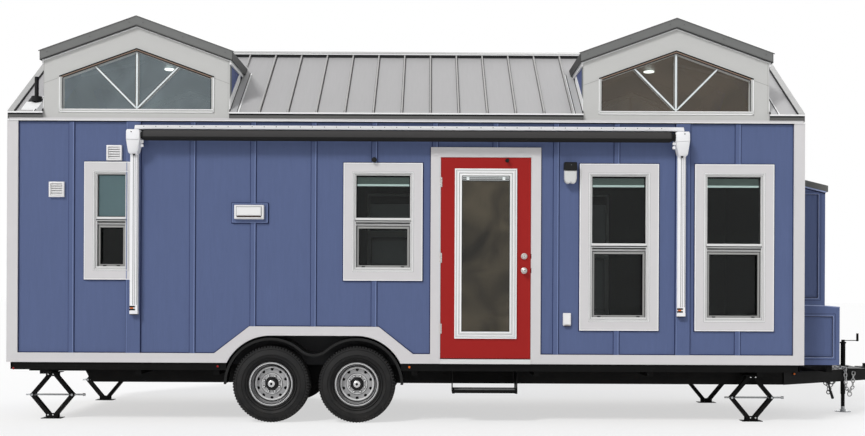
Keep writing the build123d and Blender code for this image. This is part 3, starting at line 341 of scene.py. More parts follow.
def copied(obj: Piece, place: Matrix) -> Piece:
    """A copy of a piece with its own mesh, moved.

    Args:
        obj: the piece.
        place: how the copy is moved or turned.

    Returns:
        The copy.
    """
    new = obj.copy()
    new.data = obj.data.copy()
    new.data.transform(place)
    bpy.context.collection.objects.link(new)
    return new


def repeated(obj: Piece, places: Iterable[Matrix]) -> Pieces:
    """Copies of a piece at several places; the first model is used up.

    Args:
        obj: the piece.
        places: how each copy is moved or turned.

    Returns:
        The copies.
    """
    made = [copied(obj, place) for place in places]
    bpy.data.objects.remove(obj)
    return made


def in_row(obj: Piece, starts: Iterable[float]) -> Pieces:
    """Copies of a piece modelled at X 0, set along the house; the first model is used up."""
    return repeated(obj, [Matrix.Translation((x, 0, 0)) for x in starts])


def joined(pieces: Sequence[Piece]) -> Piece:
    """Several pieces as one object.

    Args:
        pieces: what is joined.

    Returns:
        The one object.
    """
    choose(pieces[0])
    for obj in pieces:
        obj.select_set(True)
    if len(pieces) > 1:
        bpy.ops.object.join()
    return bpy.context.object


def mirrored(obj: Piece, middle: float, keep: bool = True) -> Piece:
    """A copy of a piece reflected to the other long side, its faces outward.

    Args:
        obj: the piece.
        middle: the Y of the middle plane.
        keep: whether the piece itself stays.

    Returns:
        The reflected copy.
    """
    new = copied(obj, Matrix.Translation((0, 2 * middle, 0)) @ Matrix.Scale(-1, 4, (0, 1, 0)))
    editing(new)
    bpy.ops.mesh.flip_normals()
    done()
    if not keep:
        bpy.data.objects.remove(obj)
    return new


# ---------------------------------------------------------------- shader helpers
def linear(tint: Sequence[float]) -> tuple[float, ...]:
    """A colour written 0 to 255 as the linear value, with alpha, that a shader takes."""
    parts = [c / 255 for c in tint]
    return (*(c / 12.92 if c <= 0.04045 else ((c + 0.055) / 1.055) ** 2.4 for c in parts), 1.0)


class Tree:
    """A node tree with short calls for adding and joining nodes."""

    def __init__(self, tree: bpy.types.NodeTree) -> None:
        """Takes the tree to fill."""
        self.tree = tree

    def add(self, kind: str, **settings: object) -> Node:
        """Adds one node.

        Args:
            kind: its type, without the leading ShaderNode.
            **settings: its properties.

        Returns:
            The node.
        """
        node = self.tree.nodes.new(kind if kind.startswith("Node") else "ShaderNode" + kind)
        for name, value in settings.items():
            setattr(node, name, value)
        return node

    def set(self, socket: Socket, value: object) -> None:
        """Gives an input a number, a colour or another node's socket.

        Args:
            socket: the input.
            value: what it gets; None leaves it as it is.
        """
        if isinstance(value, Socket):
            self.tree.links.new(value, socket)
        elif value is not None:
            socket.default_value = value

    def fill(self, node: Node, **values: object) -> Node:
        """Sets a node's inputs by name.

        Args:
            node: the node.
            **values: its inputs, in lower case with _ for a space.

        Returns:
            The node.
        """
        for label, value in values.items():
            self.set(node.inputs[label.replace("_", " ").title()], value)
        return node

    def spot(self) -> Socket:
        """The object's own coordinates."""
        return self.add("TexCoord").outputs["Object"]

    def parts(self, vector: Socket) -> bpy.types.NodeOutputs:
        """The X, Y and Z of a vector."""
        return self.fill(self.add("SeparateXYZ"), vector=vector).outputs

    def noise(self, place: Socket, **values: object) -> Socket:
        """A noise pattern's value at a place."""
        return self.fill(self.add("TexNoise"), vector=place, **values).outputs[0]

    def math(self, operation: str, a: object, b: object) -> Socket:
        """A math node.

        Args:
            operation: what it works out.
            a: its first input, a number or a socket.
            b: its second input.

        Returns:
            Its output.
        """
        node = self.add("Math", operation=operation)
        for socket, value in zip(node.inputs, (a, b)):
            self.set(socket, value)
        return node.outputs[0]

    def product(self, *values: object) -> Socket:
        """Two or more numbers or sockets multiplied."""
        first = values[0] if len(values) == 2 else self.product(*values[:-1])
        return self.math("MULTIPLY", first, values[-1])

    def weighed(self, a: Socket, share_a: float, b: Socket, share_b: float) -> Socket:
        """The sum of two sockets, each times its share."""
        return self.math("ADD", self.product(a, share_a), self.product(b, share_b))

    def mix(self, share: object, a: object, b: object) -> Socket:
        """A blend of two colours.

        Args:
            share: how much of b shows, a number or a socket.
            a: the first colour or socket.
            b: the second colour or socket.

        Returns:
            The blended colour.
        """
        node = self.add("Mix", data_type="RGBA")
        for index, value in ((0, share), (6, a), (7, b)):
            self.set(node.inputs[index], value)
        return node.outputs[2]


def group_tree(name: str, inputs: dict[str, object], outputs: Sequence[str]) -> tuple[Tree, Node, Node]:
    """A new node group with named inputs and outputs.

    Args:
        name: the group's name.
        inputs: each input's default: a number, a colour of four parts or a vector of three.
        outputs: the outputs' names; Color is a colour and the others are numbers.

    Returns:
        Its tree and its input and output nodes.
    """
    group = bpy.data.node_groups.new(name, "ShaderNodeTree")
    for label, value in inputs.items():
        kind = {3: "Vector", 4: "Color"}[len(value)] if isinstance(value, tuple) else "Float"
        socket = group.interface.new_socket(label, in_out="INPUT", socket_type="NodeSocket" + kind)
        socket.default_value = value
    for label in outputs:
        kind = "Color" if label == "Color" else "Float"
        group.interface.new_socket(label, in_out="OUTPUT", socket_type="NodeSocket" + kind)
    tree = Tree(group)
    return tree, tree.add("NodeGroupInput"), tree.add("NodeGroupOutput")


def make_mottle() -> bpy.types.NodeTree:
    """Soft uneven colour with fine specks, as on any painted or moulded surface.

    Returns:
        The group: Color, Amount and Scale in, Color and Mask out.
    """
    tree, given, out = group_tree("soft_mottle", {"Color": (0.5, 0.5, 0.5, 1), "Amount": 0.1, "Scale": 2.0},
                                  ("Color", "Mask"))
    place, scale = tree.spot(), given.outputs["Scale"]
    wide = tree.noise(place, scale=tree.product(scale, 1), detail=5)
    fine = tree.noise(place, scale=tree.product(scale, 45), detail=2)
    both = tree.weighed(wide, 0.7, fine, 0.3)
    swing = tree.product(tree.math("SUBTRACT", both, 0.5), 2)
    level = tree.math("ADD", 1, tree.product(swing, given.outputs["Amount"]))
    shade = tree.add("VectorMath", operation="SCALE")
    tree.set(shade.inputs[0], given.outputs["Color"])
    tree.fill(shade, scale=level)
    tree.fill(out, color=shade.outputs[0], mask=both)
    return tree.tree


def make_grain() -> bpy.types.NodeTree:
    """Drawn-out grain: embossed wood, brushed metal or rolled sheet.

    Returns:
        The group: Scale, Stretch and Swirl in, Height and Mask out.
    """
    tree, given, out = group_tree("drawn_grain", {"Scale": 20.0, "Stretch": (1.0, 1.0, 1.0), "Swirl": 0.4},
                                  ("Height", "Mask"))
    drawn = tree.add("VectorMath", operation="MULTIPLY")
    tree.set(drawn.inputs[0], tree.spot())
    tree.set(drawn.inputs[1], given.outputs["Stretch"])
    scale, place = given.outputs["Scale"], drawn.outputs[0]
    lines = tree.noise(place, scale=scale, detail=4, roughness=0.6, distortion=given.outputs["Swirl"])
    knots = tree.noise(place, scale=tree.product(scale, 0.22), detail=2, distortion=1.5)
    tree.fill(out, height=tree.weighed(lines, 0.65, knots, 0.35), mask=lines)
    return tree.tree


def make_dust() -> bpy.types.NodeTree:
    """Road dust that thins with height, broken up by noise.

    Returns:
        The group: Color, Dust, Amount and Top in, Color and Mask out.
    """
    tree, given, out = group_tree(
        "road_dust", {"Color": (0.5, 0.5, 0.5, 1), "Dust": (0.3, 0.27, 0.23, 1), "Amount": 0.3, "Top": 1.0},
        ("Color", "Mask"))
    place = tree.spot()
    depth = tree.math("SUBTRACT", 1, tree.math("DIVIDE", tree.parts(place)["Z"], given.outputs["Top"]))
    low = tree.math("MAXIMUM", depth, 0)
    specks = tree.noise(place, scale=9, detail=6)
    patch = tree.math("MAXIMUM", tree.product(tree.math("SUBTRACT", specks, 0.35), 2.2), 0)
    mask = tree.math("MINIMUM", tree.product(low, patch, given.outputs["Amount"]), 1)
    tree.fill(out, color=tree.mix(mask, given.outputs["Color"], given.outputs["Dust"]), mask=mask)
    return tree.tree


class Effects:
    """The shared node groups, each made once."""

    makers: dict[str, Callable[[], bpy.types.NodeTree]] = {
        "mottle": make_mottle, "grain": make_grain, "dust": make_dust}
    made: dict[str, bpy.types.NodeTree] = {}

    @classmethod
    def node(cls, tree: Tree, name: str, **values: object) -> Node:
        """Places one shared group in a material.

        Args:
            tree: the material's tree.
            name: which group.
            **values: its inputs, by name in lower case.

        Returns:
            The group's node.
        """
        if name not in cls.made:
            cls.made[name] = cls.makers[name]()
        return tree.fill(tree.add("Group", node_tree=cls.made[name]), **values)


# ---------------------------------------------------------------- finishes
@dataclass(frozen=True)
class Finish:
    """One surface finish: its colour, sheen, unevenness, grain and dust."""

    name: str
    tint: Colour
    rough: float = 0.5
    metal: float = 0.0
    specular: float = 0.2
    mottle: float = 0.05
    mottle_scale: float = 1.5
    grain: float = 0.0
    grain_scale: float = 30.0
    stretch: Point = (1.0, 1.0, 1.0)
    swirl: float = 0.4
    grain_shade: float = 0.0
    pit: float = 0.02
    pit_scale: float = 400.0
    dust: float = 0.0
    dust_top: float = 1.0
    # Emission: a real lamp on the ceiling lights, painted light on the blinds, their rails, the privacy film and the
    # door's blind header.
    glow: float = 0.0

    def colour(self, tree: Tree) -> Socket:
        """The colour before mottle and dust."""
        node = tree.add("RGB")
        node.outputs[0].default_value = linear(self.tint)
        return node.outputs[0]

    def height(self, tree: Tree, grain: Node) -> Socket:
        """The relief of the surface, in millimetres."""
        pits = tree.noise(tree.spot(), scale=self.pit_scale, detail=2)
        return tree.weighed(grain.outputs["Height"], self.grain, pits, self.pit)

    def extra(self, tree: Tree, shader: Node) -> None:
        """Sets what a special finish adds to its shader; a plain one may glow, which is painted light on any part that
        is no lamp.
        """
        if self.glow:
            tree.fill(shader, emission_color=linear(self.tint), emission_strength=self.glow)

    def material(self) -> bpy.types.Material:
        """The material, made the first time it is asked for.

        Returns:
            The material.
        """
        name = f"{self.name}_finish"
        found = bpy.data.materials.get(name)
        if found:
            return found
        material = bpy.data.materials.new(name)
        material.use_nodes = True
        material.diffuse_color = linear(self.tint)
        tree = Tree(material.node_tree)
        grain = Effects.node(tree, "grain", scale=self.grain_scale, stretch=self.stretch, swirl=self.swirl)
        colour = self.colour(tree)
        if self.grain_shade:
            dark = tree.product(grain.outputs["Mask"], self.grain_shade)
            colour = tree.mix(dark, colour, linear(tuple(c // 3 for c in self.tint)))
        mottle = Effects.node(tree, "mottle", color=colour, amount=self.mottle, scale=self.mottle_scale)
        colour = mottle.outputs["Color"]
        if self.dust:
            dust = Effects.node(tree, "dust", color=colour, amount=self.dust, top=self.dust_top)
            colour = dust.outputs["Color"]
        swing = tree.product(tree.math("SUBTRACT", mottle.outputs["Mask"], 0.5), 0.3)
        bump = tree.fill(tree.add("Bump"), strength=1.0, distance=0.001, height=self.height(tree, grain))
        shader = tree.fill(material.node_tree.nodes["Principled BSDF"], base_color=colour, metallic=self.metal,
                           roughness=tree.math("ADD", self.rough, swing), normal=bump.outputs[0])
        shader.inputs["Specular IOR Level"].default_value = self.specular
        self.extra(tree, shader)
        return material


@dataclass(frozen=True)
class InsideOut(Finish):
    """A wall finish that turns into plain indoor paint inside the room's plan."""

    indoor: Colour = (74, 78, 76)
    low: Flat = (0.0, 0.0)
    high: Flat = (0.0, 0.0)

    def colour(self, tree: Tree) -> Socket:
        """Outdoor colour, with indoor paint inside the room's plan.

        Args:
            tree: the material's tree.

        Returns:
            The colour socket.
        """
        parts, inside = tree.parts(tree.spot()), 1.0
        for axis, low, high in zip("XY", self.low, self.high):
            for way, limit in (("GREATER_THAN", low), ("LESS_THAN", high)):
                inside = tree.product(tree.math(way, parts[axis], limit), inside)
        return tree.mix(inside, linear(self.tint), linear(self.indoor))


@dataclass(frozen=True)
class Underside(Finish):
    """A roof finish whose faces that look down are plain indoor paint."""

    indoor: Colour = (96, 102, 104)

    def colour(self, tree: Tree) -> Socket:
        """Outdoor colour, with indoor paint on faces that look down."""
        upward = tree.parts(tree.add("NewGeometry").outputs["True Normal"])["Z"]
        return tree.mix(tree.math("LESS_THAN", upward, -0.3), linear(self.tint), linear(self.indoor))


@dataclass(frozen=True)
class Banded(Finish):
    """A finish that changes colour past one place along an axis."""

    other: Colour = (20, 20, 20)
    axis: str = "Z"
    limit: float = 0.0

    def colour(self, tree: Tree) -> Socket:
        """The first colour, with the other one past the limit."""
        past = tree.math("GREATER_THAN", tree.parts(tree.spot())[self.axis], self.limit)
        return tree.mix(past, linear(self.tint), linear(self.other))


@dataclass(frozen=True)
class Glass(Banded):
    """Window glass that glows with painted light on the near side, a glow that stands for the lit rooms behind it and
    for reflections.
    """

    axis: str = "Y"
    rough: float = 0.03
    mottle: float = 0.0
    pit: float = 0.0
    bend: float = 1.25
    glow_from: float = 3.1
    rear_glow: Colour = (92, 100, 104)
    front_glow: Colour = (70, 62, 54)
    glow_dark: Colour = (30, 30, 30)
    glow_dark_share: float = 0.7

    def extra(self, tree: Tree, shader: Node) -> None:
        """Makes the shader clear glass, with a painted glow on the near side that stands for the lit rooms and for
        reflections.

        Args:
            tree: the material's tree.
            shader: its Principled shader.
        """
        place = tree.spot()
        parts = tree.parts(place)
        folds = tree.noise(place, scale=2.2, detail=3, distortion=1.2)
        painted_glow = tree.mix(tree.math("GREATER_THAN", parts["X"], 0.0), linear(self.rear_glow), linear(self.front_glow))
        painted_glow = tree.mix(tree.product(folds, self.glow_dark_share), painted_glow, linear(self.glow_dark))
        high, near = tree.math("GREATER_THAN", parts["Z"], self.glow_from), tree.math("LESS_THAN", parts["Y"], 0.0)
        tree.fill(shader, transmission_weight=1.0, emission_strength=1.0,
                  emission_color=tree.mix(tree.product(high, near), (0, 0, 0, 1), painted_glow))
        shader.inputs["IOR"].default_value = self.bend


@dataclass(frozen=True)
class Planks(Finish):
    """Floor boards that run along the house."""

    board: Flat = (1.6, 0.18)
    gap: float = 0.0015
    gap_tint: Colour = (52, 42, 32)

    def colour(self, tree: Tree) -> Socket:
        """Board colour that changes from board to board, with dark joints.

        Args:
            tree: the material's tree.

        Returns:
            The colour socket.
        """
        second = linear(tuple(int(c * 0.82) for c in self.tint))
        brick = tree.fill(tree.add("TexBrick"), vector=tree.spot(), color1=linear(self.tint), color2=second,
                          mortar=linear(self.gap_tint), scale=1, brick_width=self.board[0],
                          row_height=self.board[1], mortar_size=self.gap)
        return brick.outputs["Color"]


# ---------------------------------------------------------------- names and finishes
WHEELS = ("near_rear", "near_front", "far_rear", "far_front")
# Edges that turn less than this many degrees are shaded smooth.
SMOOTH_BELOW = 35.0
# The gap that keeps a thin strip off the face under it.
CLEAR = 0.0005
BEAD = 0.008
SCREW_RADIUS = 0.006
# The stretch of a grain that runs up a wall, up the roof's slope or along the house.
UPRIGHT = (1.0, 1.0, 0.09)
UP_SLOPE = (1.0, 0.05, 0.05)
LENGTHWAYS = (0.05, 1.0, 1.0)
# The dust group darkens the trim towards the bottom, below 0.72 m, most on the skirt board.
TRIM = Finish("trim_paint", (205, 203, 204), mottle=0.03, grain=0.25, grain_scale=60, stretch=UPRIGHT, dust=0.22,
              dust_top=0.72)
DORMER_PAINT = InsideOut("dormer_paint", (190, 190, 188), rough=0.55, mottle=0.03, grain=0.2, grain_scale=60,
                         indoor=(96, 102, 104), low=(-9.0, -1.17), high=(9.0, 1.31))
# Brighter than the trim: painted highlight on beads, lips, hems and edge strips, and the white of the dormers' side
# trims and the vent plate.
EDGE_WHITE_AND_HIGHLIGHT = Finish("edge_bead_paint", (238, 238, 238), rough=0.45, mottle=0.02)
# The dormer windows' frames, above limit, take the darker colour: painted shade.
VINYL = Banded("window_vinyl", (214, 214, 213), rough=0.35, mottle=0.02, pit=0.01, other=(192, 193, 191), limit=3.1)
SCREEN_METAL = Finish("screen_frame_metal", (150, 150, 148), rough=0.4)
# Black for gaskets, latches, knobs and the roll's ends, and painted shade for dark lines, slots and gaps.
GASKET_AND_SHADE = Finish("black_gasket", (14, 14, 15), rough=0.6, mottle=0.1)
# A tan line along the dormer windows' upper edges: painted shade.
TAN_SHADE = Finish("tan_stop", (134, 114, 100), rough=0.6, mottle=0.08)
# The glow on the blinds, their rails and the privacy film is painted light.
BLIND = Finish("raised_blind", (128, 140, 136), rough=0.7, glow=0.35, grain=0.3, grain_scale=120, stretch=LENGTHWAYS)
BLIND_RAIL = Finish("blind_rail", (196, 208, 206), glow=1.4)
FILM = Finish("privacy_film", (112, 131, 138), rough=0.6, mottle=0.06, glow=1.0)
ROOF = Underside("roof_steel", (178, 177, 178), rough=0.42, metal=0.15, grain=0.12, grain_scale=70, stretch=UP_SLOPE,
                 swirl=0.2, grain_shade=0.12)
SEAM = Finish("roof_seam_steel", (176, 175, 174), rough=0.4, metal=0.2, grain=0.1)
FLASHING = Finish("flashing_steel", (178, 178, 177), rough=0.4, metal=0.15, mottle=0.06, grain=0.1)
DARK_TRIM = Finish("dark_roof_trim", (112, 113, 112), rough=0.42, metal=0.1, mottle=0.06, grain=0.1)
# Far-side panes take the darker colour, which is painted shade on the view through the house; the dormer windows' glow
# is painted light.
GLASS = Glass("window_glass", (172, 180, 178), other=(42, 44, 44))
# The door glass glows over its whole near side: a painted reflection.
DOOR_GLASS = Glass("door_glass", (160, 158, 150), other=(160, 158, 150), glow_from=0.0, glow_dark_share=1.25,
                   glow_dark=(16, 17, 18), rear_glow=(74, 68, 57), front_glow=(74, 68, 57))
DOOR_RED = Finish("red_door_paint", (152, 34, 32), rough=0.42, specular=0.1, grain=0.12, grain_scale=90,
                  stretch=UPRIGHT)
NICKEL = Banded("satin_nickel", (205, 200, 196), rough=0.3, metal=0.85, other=(14, 14, 15), limit=2.62)
POWDER = Finish("white_powder_coat", (236, 236, 238), rough=0.4, mottle=0.03, pit=0.03)
# The roll is lighter above limit than below it: painted light on its top and painted shade on its underside.
FABRIC = Banded("awning_fabric", (30, 30, 30), other=(62, 61, 61), limit=2.876, rough=0.85, mottle=0.12, grain=0.15,
                grain_scale=900)
PIPE = Finish("vent_black", (22, 22, 23), rough=0.55, mottle=0.15)
BLACK_STEEL = Finish("black_trailer_steel", (8, 8, 8), specular=0.1, mottle=0.2, mottle_scale=3, pit=0.08,
                     pit_scale=220, dust=0.03, dust_top=0.7)
FENDER_BLACK = Finish("fender_black", (24, 24, 24), rough=0.32, mottle=0.15, pit=0.05, dust=0.04)
ZINC = Finish("zinc_steel", (168, 170, 172), rough=0.35, metal=0.8, mottle=0.15, mottle_scale=8, pit=0.05,
              pit_scale=500)
# A darker copy of the siding's blue on the dormers' cheeks: painted shade.
CHEEK_BLUE = Finish("cheek_blue_paint", (66, 80, 128), rough=0.55, mottle=0.06, grain=0.8, stretch=UPRIGHT)
LIDS = Banded("cabinet_lid_paint", (86, 99, 137), grain=0.2, other=(98, 98, 96), limit=1.3)
JACK_TUBE = Banded("jack_leg_metal", (188, 190, 192), rough=0.4, metal=0.5, mottle=0.1, other=(10, 10, 10), limit=0.06)
SILVER = Finish("wheel_silver", (172, 172, 173), rough=0.38, metal=0.45, mottle=0.08, mottle_scale=4, dust=0.25,
                dust_top=0.8)
RUBBER = Finish("tyre_rubber", (13, 13, 14), rough=0.6, mottle=0.2, mottle_scale=6, pit=0.12, pit_scale=260, dust=0.06,
                dust_top=0.9, specular=0.3)
AMBER = Finish("amber_lens", (222, 110, 34), rough=0.25)
RED_LENS = Finish("red_lens", (150, 26, 22), rough=0.25)
LIGHT_LENS = Finish("lamp_lens", (204, 205, 204), rough=0.3, mottle=0.03)
LIGHT_DISC = Finish("ceiling_light", (252, 252, 246), glow=3.2)
WELL = Finish("well_metal", (46, 46, 48), rough=0.6, mottle=0.15)
FLOOR = Planks("floor_boards", (134, 104, 76), mottle=0.08, grain=0.2, grain_scale=40, stretch=LENGTHWAYS)
VALLEY = Finish("valley_flashing", (176, 176, 177), rough=0.45, metal=0.1, mottle=0.08, grain=0.15)
SHADOW_TRIM = Finish("shadow_trim", (26, 26, 27), rough=0.6, mottle=0.1)
# Dark lines at the foot of each standing seam: painted shadow.
SEAM_SHADOW = Finish("seam_line", (62, 60, 60), mottle=0.08)
# The dormers' side fascias, darkened: painted shade.
EAVE_SIDE_SHADE = Finish("eave_side", (44, 44, 44), mottle=0.08)
EAVE_DARK = Finish("eave_band", (92, 92, 91), rough=0.45, metal=0.1, mottle=0.08, grain=0.1)
JOINT = Finish("panel_joint", (150, 150, 148), rough=0.6)
SCREW = Finish("screw_head", (96, 96, 96), rough=0.4, metal=0.3, mottle=0.1)
# A brighter silver on the rim's raised rings: painted highlight.
RIM_HIGHLIGHT = Finish("rim_bright_ring", (214, 214, 214), rough=0.35, metal=0.3, mottle=0.06)
BAR_WHITE = Finish("bar_white", (226, 234, 236), rough=0.4, mottle=0.02)
# A dark blue beside battens and trim: painted shadow.
BLUE_SHADOW_LINE = Finish("blue_shadow_line", (32, 40, 78), rough=0.6, mottle=0.08)
# A lighter blue along batten and mounting board edges: painted highlight.
BLUE_HIGHLIGHT = Finish("blue_light_edge", (112, 127, 166))
# Near-black in the rim's grooves: painted shade.
RIM_GROOVE_SHADE = Finish("rim_groove", (30, 30, 31), mottle=0.1)
# The header's glow is painted light.
HEADER = Finish("door_blind_header", (222, 226, 226), glow=0.25)
# Grey in grooves, recesses and narrow gaps, and on the plates behind the louvres: painted shade.
GROOVE_SHADE = Finish("grey_groove", (126, 126, 129), mottle=0.06)
BLIND_DARK = Finish("blind_shadow", (58, 60, 60), rough=0.7)
NICKEL_PLAIN = Finish("satin_nickel_plain", (206, 202, 198), rough=0.3, metal=0.75, mottle=0.06)
LAMP_BLACK = Finish("lamp_black", (20, 20, 21), mottle=0.12, pit=0.03)
FITTING = Finish("fitting_plastic", (228, 227, 227), rough=0.42, mottle=0.04, dust=0.05)
# Dark brown in the hood's slot and under the outlet cover: painted shade.
SLOT_SHADE = Finish("dark_slot", (52, 34, 28), rough=0.6, mottle=0.15)
CHROME = Finish("bright_metal", (214, 214, 214), rough=0.25, metal=0.8, mottle=0.06)
CHAIN = Finish("galvanised_chain", (176, 176, 176), rough=0.38, metal=0.6, mottle=0.2, mottle_scale=20)
STEP_GREY = Finish("step_tread_grey", (120, 120, 120), rough=0.6, mottle=0.12)
# A lighter and a darker copy of the cabinets' blue along their lids and panels: painted highlight and painted shade.
CABINET_HIGHLIGHT = Finish("cabinet_light_line", (150, 162, 196))
CABINET_SHADE = Finish("cabinet_dark_line", (34, 38, 62), rough=0.6)


# ---------------------------------------------------------------- the house's plan
@dataclass(frozen=True)
class Window:
    """One double-hung window: its middle from the rear face, its width, sill and head."""

    centre: float
    width: float
    sill: float
    head: float = 2.537
    blind: bool = True
    sides: tuple[Side, ...] = (Side.NEAR, Side.FAR)


@dataclass(frozen=True)
class Plan:
    """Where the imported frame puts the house, and the places that follow from it."""

    rear: float
    front: float
    near: float
    far: float
    deck: float
    wall_top: float
    windows: tuple[Window, ...] = (
        Window(1.031, 0.34, 1.545, blind=False, sides=(Side.NEAR,)),
        Window(3.784, 0.60, 1.545), Window(6.174, 0.60, 1.05), Window(7.340, 0.60, 1.05))
    casing: float = 0.1
    board: float = 0.02
    board_width: float = 0.09
    skirt_height: float = 0.096
    arch_crown: float = 0.978
    mount_spots: Flat = (1.2585, 6.8195)
    mount_width: float = 0.142
    mount_face: float = 0.0203
    hood_span: Flat = (2.256, 2.618)
    hood_heights: Flat = (2.027, 2.222)
    frieze_rise: float = 0.0142

    @classmethod
    def from_frame(cls) -> "Plan":
        """Reads the plan from the walls' boxes.

        Returns:
            The plan.
        """
        low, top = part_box("near_wall_rear")
        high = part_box("near_wall_front")[1]
        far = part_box("far_wall")[1]
        return cls(rear=low.x, front=high.x, near=low.y, far=far.y, deck=low.z, wall_top=top.z)

    @property
    def mid_x(self) -> float:
        """The middle of the body along the house."""
        return (self.rear + self.front) / 2

    @property
    def mid_y(self) -> float:
        """The middle of the body across the house."""
        return (self.near + self.far) / 2

    @property
    def skirt(self) -> float:
        """The skirt board's upper edge."""
        return self.deck + self.skirt_height

    @property
    def frieze(self) -> float:
        """The frieze board's lower edge."""
        return self.wall_top + self.frieze_rise

    @property
    def siding_ends(self) -> Flat:
        """The X where the blue siding meets the rear and the front corner boards."""
        return self.rear + self.board_width, self.front - self.board_width

    @property
    def arch_middle(self) -> float:
        """The X of the middle between the wheels."""
        return (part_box("fenders")[0].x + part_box("fenders")[1].x) / 2

    @property
    def door(self) -> tuple[Flat, Flat]:
        """(x, z) of the door leaf's lower rear and upper front corners."""
        low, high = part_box("door_leaf")
        return (low.x, low.z), (high.x, high.z)

    @property
    def mounts(self) -> list[Flat]:
        """The lower and the upper X of each flat board behind an awning arm."""
        half = self.mount_width / 2
        return [(self.rear + spot - half, self.rear + spot + half) for spot in self.mount_spots]

    def opening(self, window: Window, grow: float = 0.0) -> tuple[Flat, Flat]:
        """(x, z) of a window's lower and upper corners, grown on all sides."""
        x, half = self.rear + window.centre, window.width / 2 + grow
        return (x - half, window.sill - grow), (x + half, window.head + grow)


def dress(obj: Piece, name: str, finish: Finish, body: Body | str = Body.HOUSE) -> Piece:
    """Finishes a new piece: its name, material, shading and body.

    Args:
        obj: the piece.
        name: its name.
        finish: its finish.
        body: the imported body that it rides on.

    Returns:
        The piece.
    """
    obj.name = name
    obj.data.name = name
    obj.data.materials.clear()
    obj.data.materials.append(finish.material())
    choose(obj)
    bpy.ops.object.shade_smooth_by_angle(angle=math.radians(SMOOTH_BELOW))
    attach(obj, body.value if isinstance(body, Body) else body)
    LOG.info("made %s: %d faces", name, len(obj.data.polygons))
    return obj


def both_sides(pieces: Sequence[Piece], middle: float) -> Piece:
    """Pieces of the near side and their reflections on the far side, as one object."""
    one = joined(pieces)
    return joined([one, mirrored(one, middle)])


def pair(plan: Plan, pieces: Sequence[Piece], name: str, finish: Finish) -> Piece:
    """Joins near pieces with their reflections and finishes them as one piece of the house."""
    return dress(both_sides(pieces, plan.mid_y), name, finish)


def side_piece(plan: Plan, pieces: Sequence[Piece], side: Side) -> Piece:
    """Near pieces joined, and moved over to the far wall as a reflection where that side is asked for."""
    one = joined(pieces)
    return mirrored(one, plan.mid_y, keep=False) if side is Side.FAR else one


# ---------------------------------------------------------------- frame finishes
@dataclass
class FrameFinishes:
    """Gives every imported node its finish."""

    plan: Plan

    def siding(self) -> Finish:
        """Painted panel siding with embossed grain, with indoor paint inside."""
        plan = self.plan
        return InsideOut("blue_siding_paint", (86, 99, 137), rough=0.55, mottle=0.06, mottle_scale=0.8, grain=3.2,
                         grain_scale=26, stretch=UPRIGHT, swirl=1.2, grain_shade=0.16,
                         low=(plan.rear + 0.02, plan.near + 0.04), high=(plan.front - 0.02, plan.far - 0.04))

    def table(self) -> dict[str, Finish]:
        """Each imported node's finish.

        Returns:
            Node name to finish.
        """
        shared = {
            self.siding(): "near_wall_rear near_wall_over_door near_wall_front far_wall rear_wall front_wall "
                           "mounting_boards tongue_cabinets",
            TRIM: "corner_boards band_boards opening_trim",
            BLACK_STEEL: "main_rails cross_members deck_channel tongue_frame hitch_coupler tongue_jack_post axles "
                         "jack_plates jack_arms step_runners entry_step tongue_jack_crank",
            VINYL: "window_frames door_lite door_frame wall_vents porch_light",
            ROOF: "main_roof dormer_roofs", ZINC: "safety_chains jack_screws", CHEEK_BLUE: "dormer_cheeks",
            DORMER_PAINT: "dormer_walls", FLASHING: "roof_flashing", SEAM: "roof_seams",
            DARK_TRIM: "roof_edge_trim", LIDS: "cabinet_lids", GLASS: "window_glass", DOOR_GLASS: "door_glass",
            DOOR_RED: "door_leaf", NICKEL: "door_hardware", POWDER: "awning_frame", FABRIC: "awning_roll",
            PIPE: "roof_vent", FENDER_BLACK: "fenders", FLOOR: "floor", WELL: "wheel_wells",
            RED_LENS: "marker_lights", JACK_TUBE: "tongue_jack_leg",
            RUBBER: " ".join(f"tyre_{wheel}" for wheel in WHEELS),
            SILVER: " ".join(f"rim_{wheel}" for wheel in WHEELS)}
        return {name: finish for finish, names in shared.items() for name in names.split()}

    def build(self, nodes: dict[str, Piece]) -> None:
        """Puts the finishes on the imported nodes.

        Args:
            nodes: the frame's nodes.
        """
        table = self.table()
        for name, node in nodes.items():
            node.data.materials.clear()
            node.data.materials.append(table[name].material())


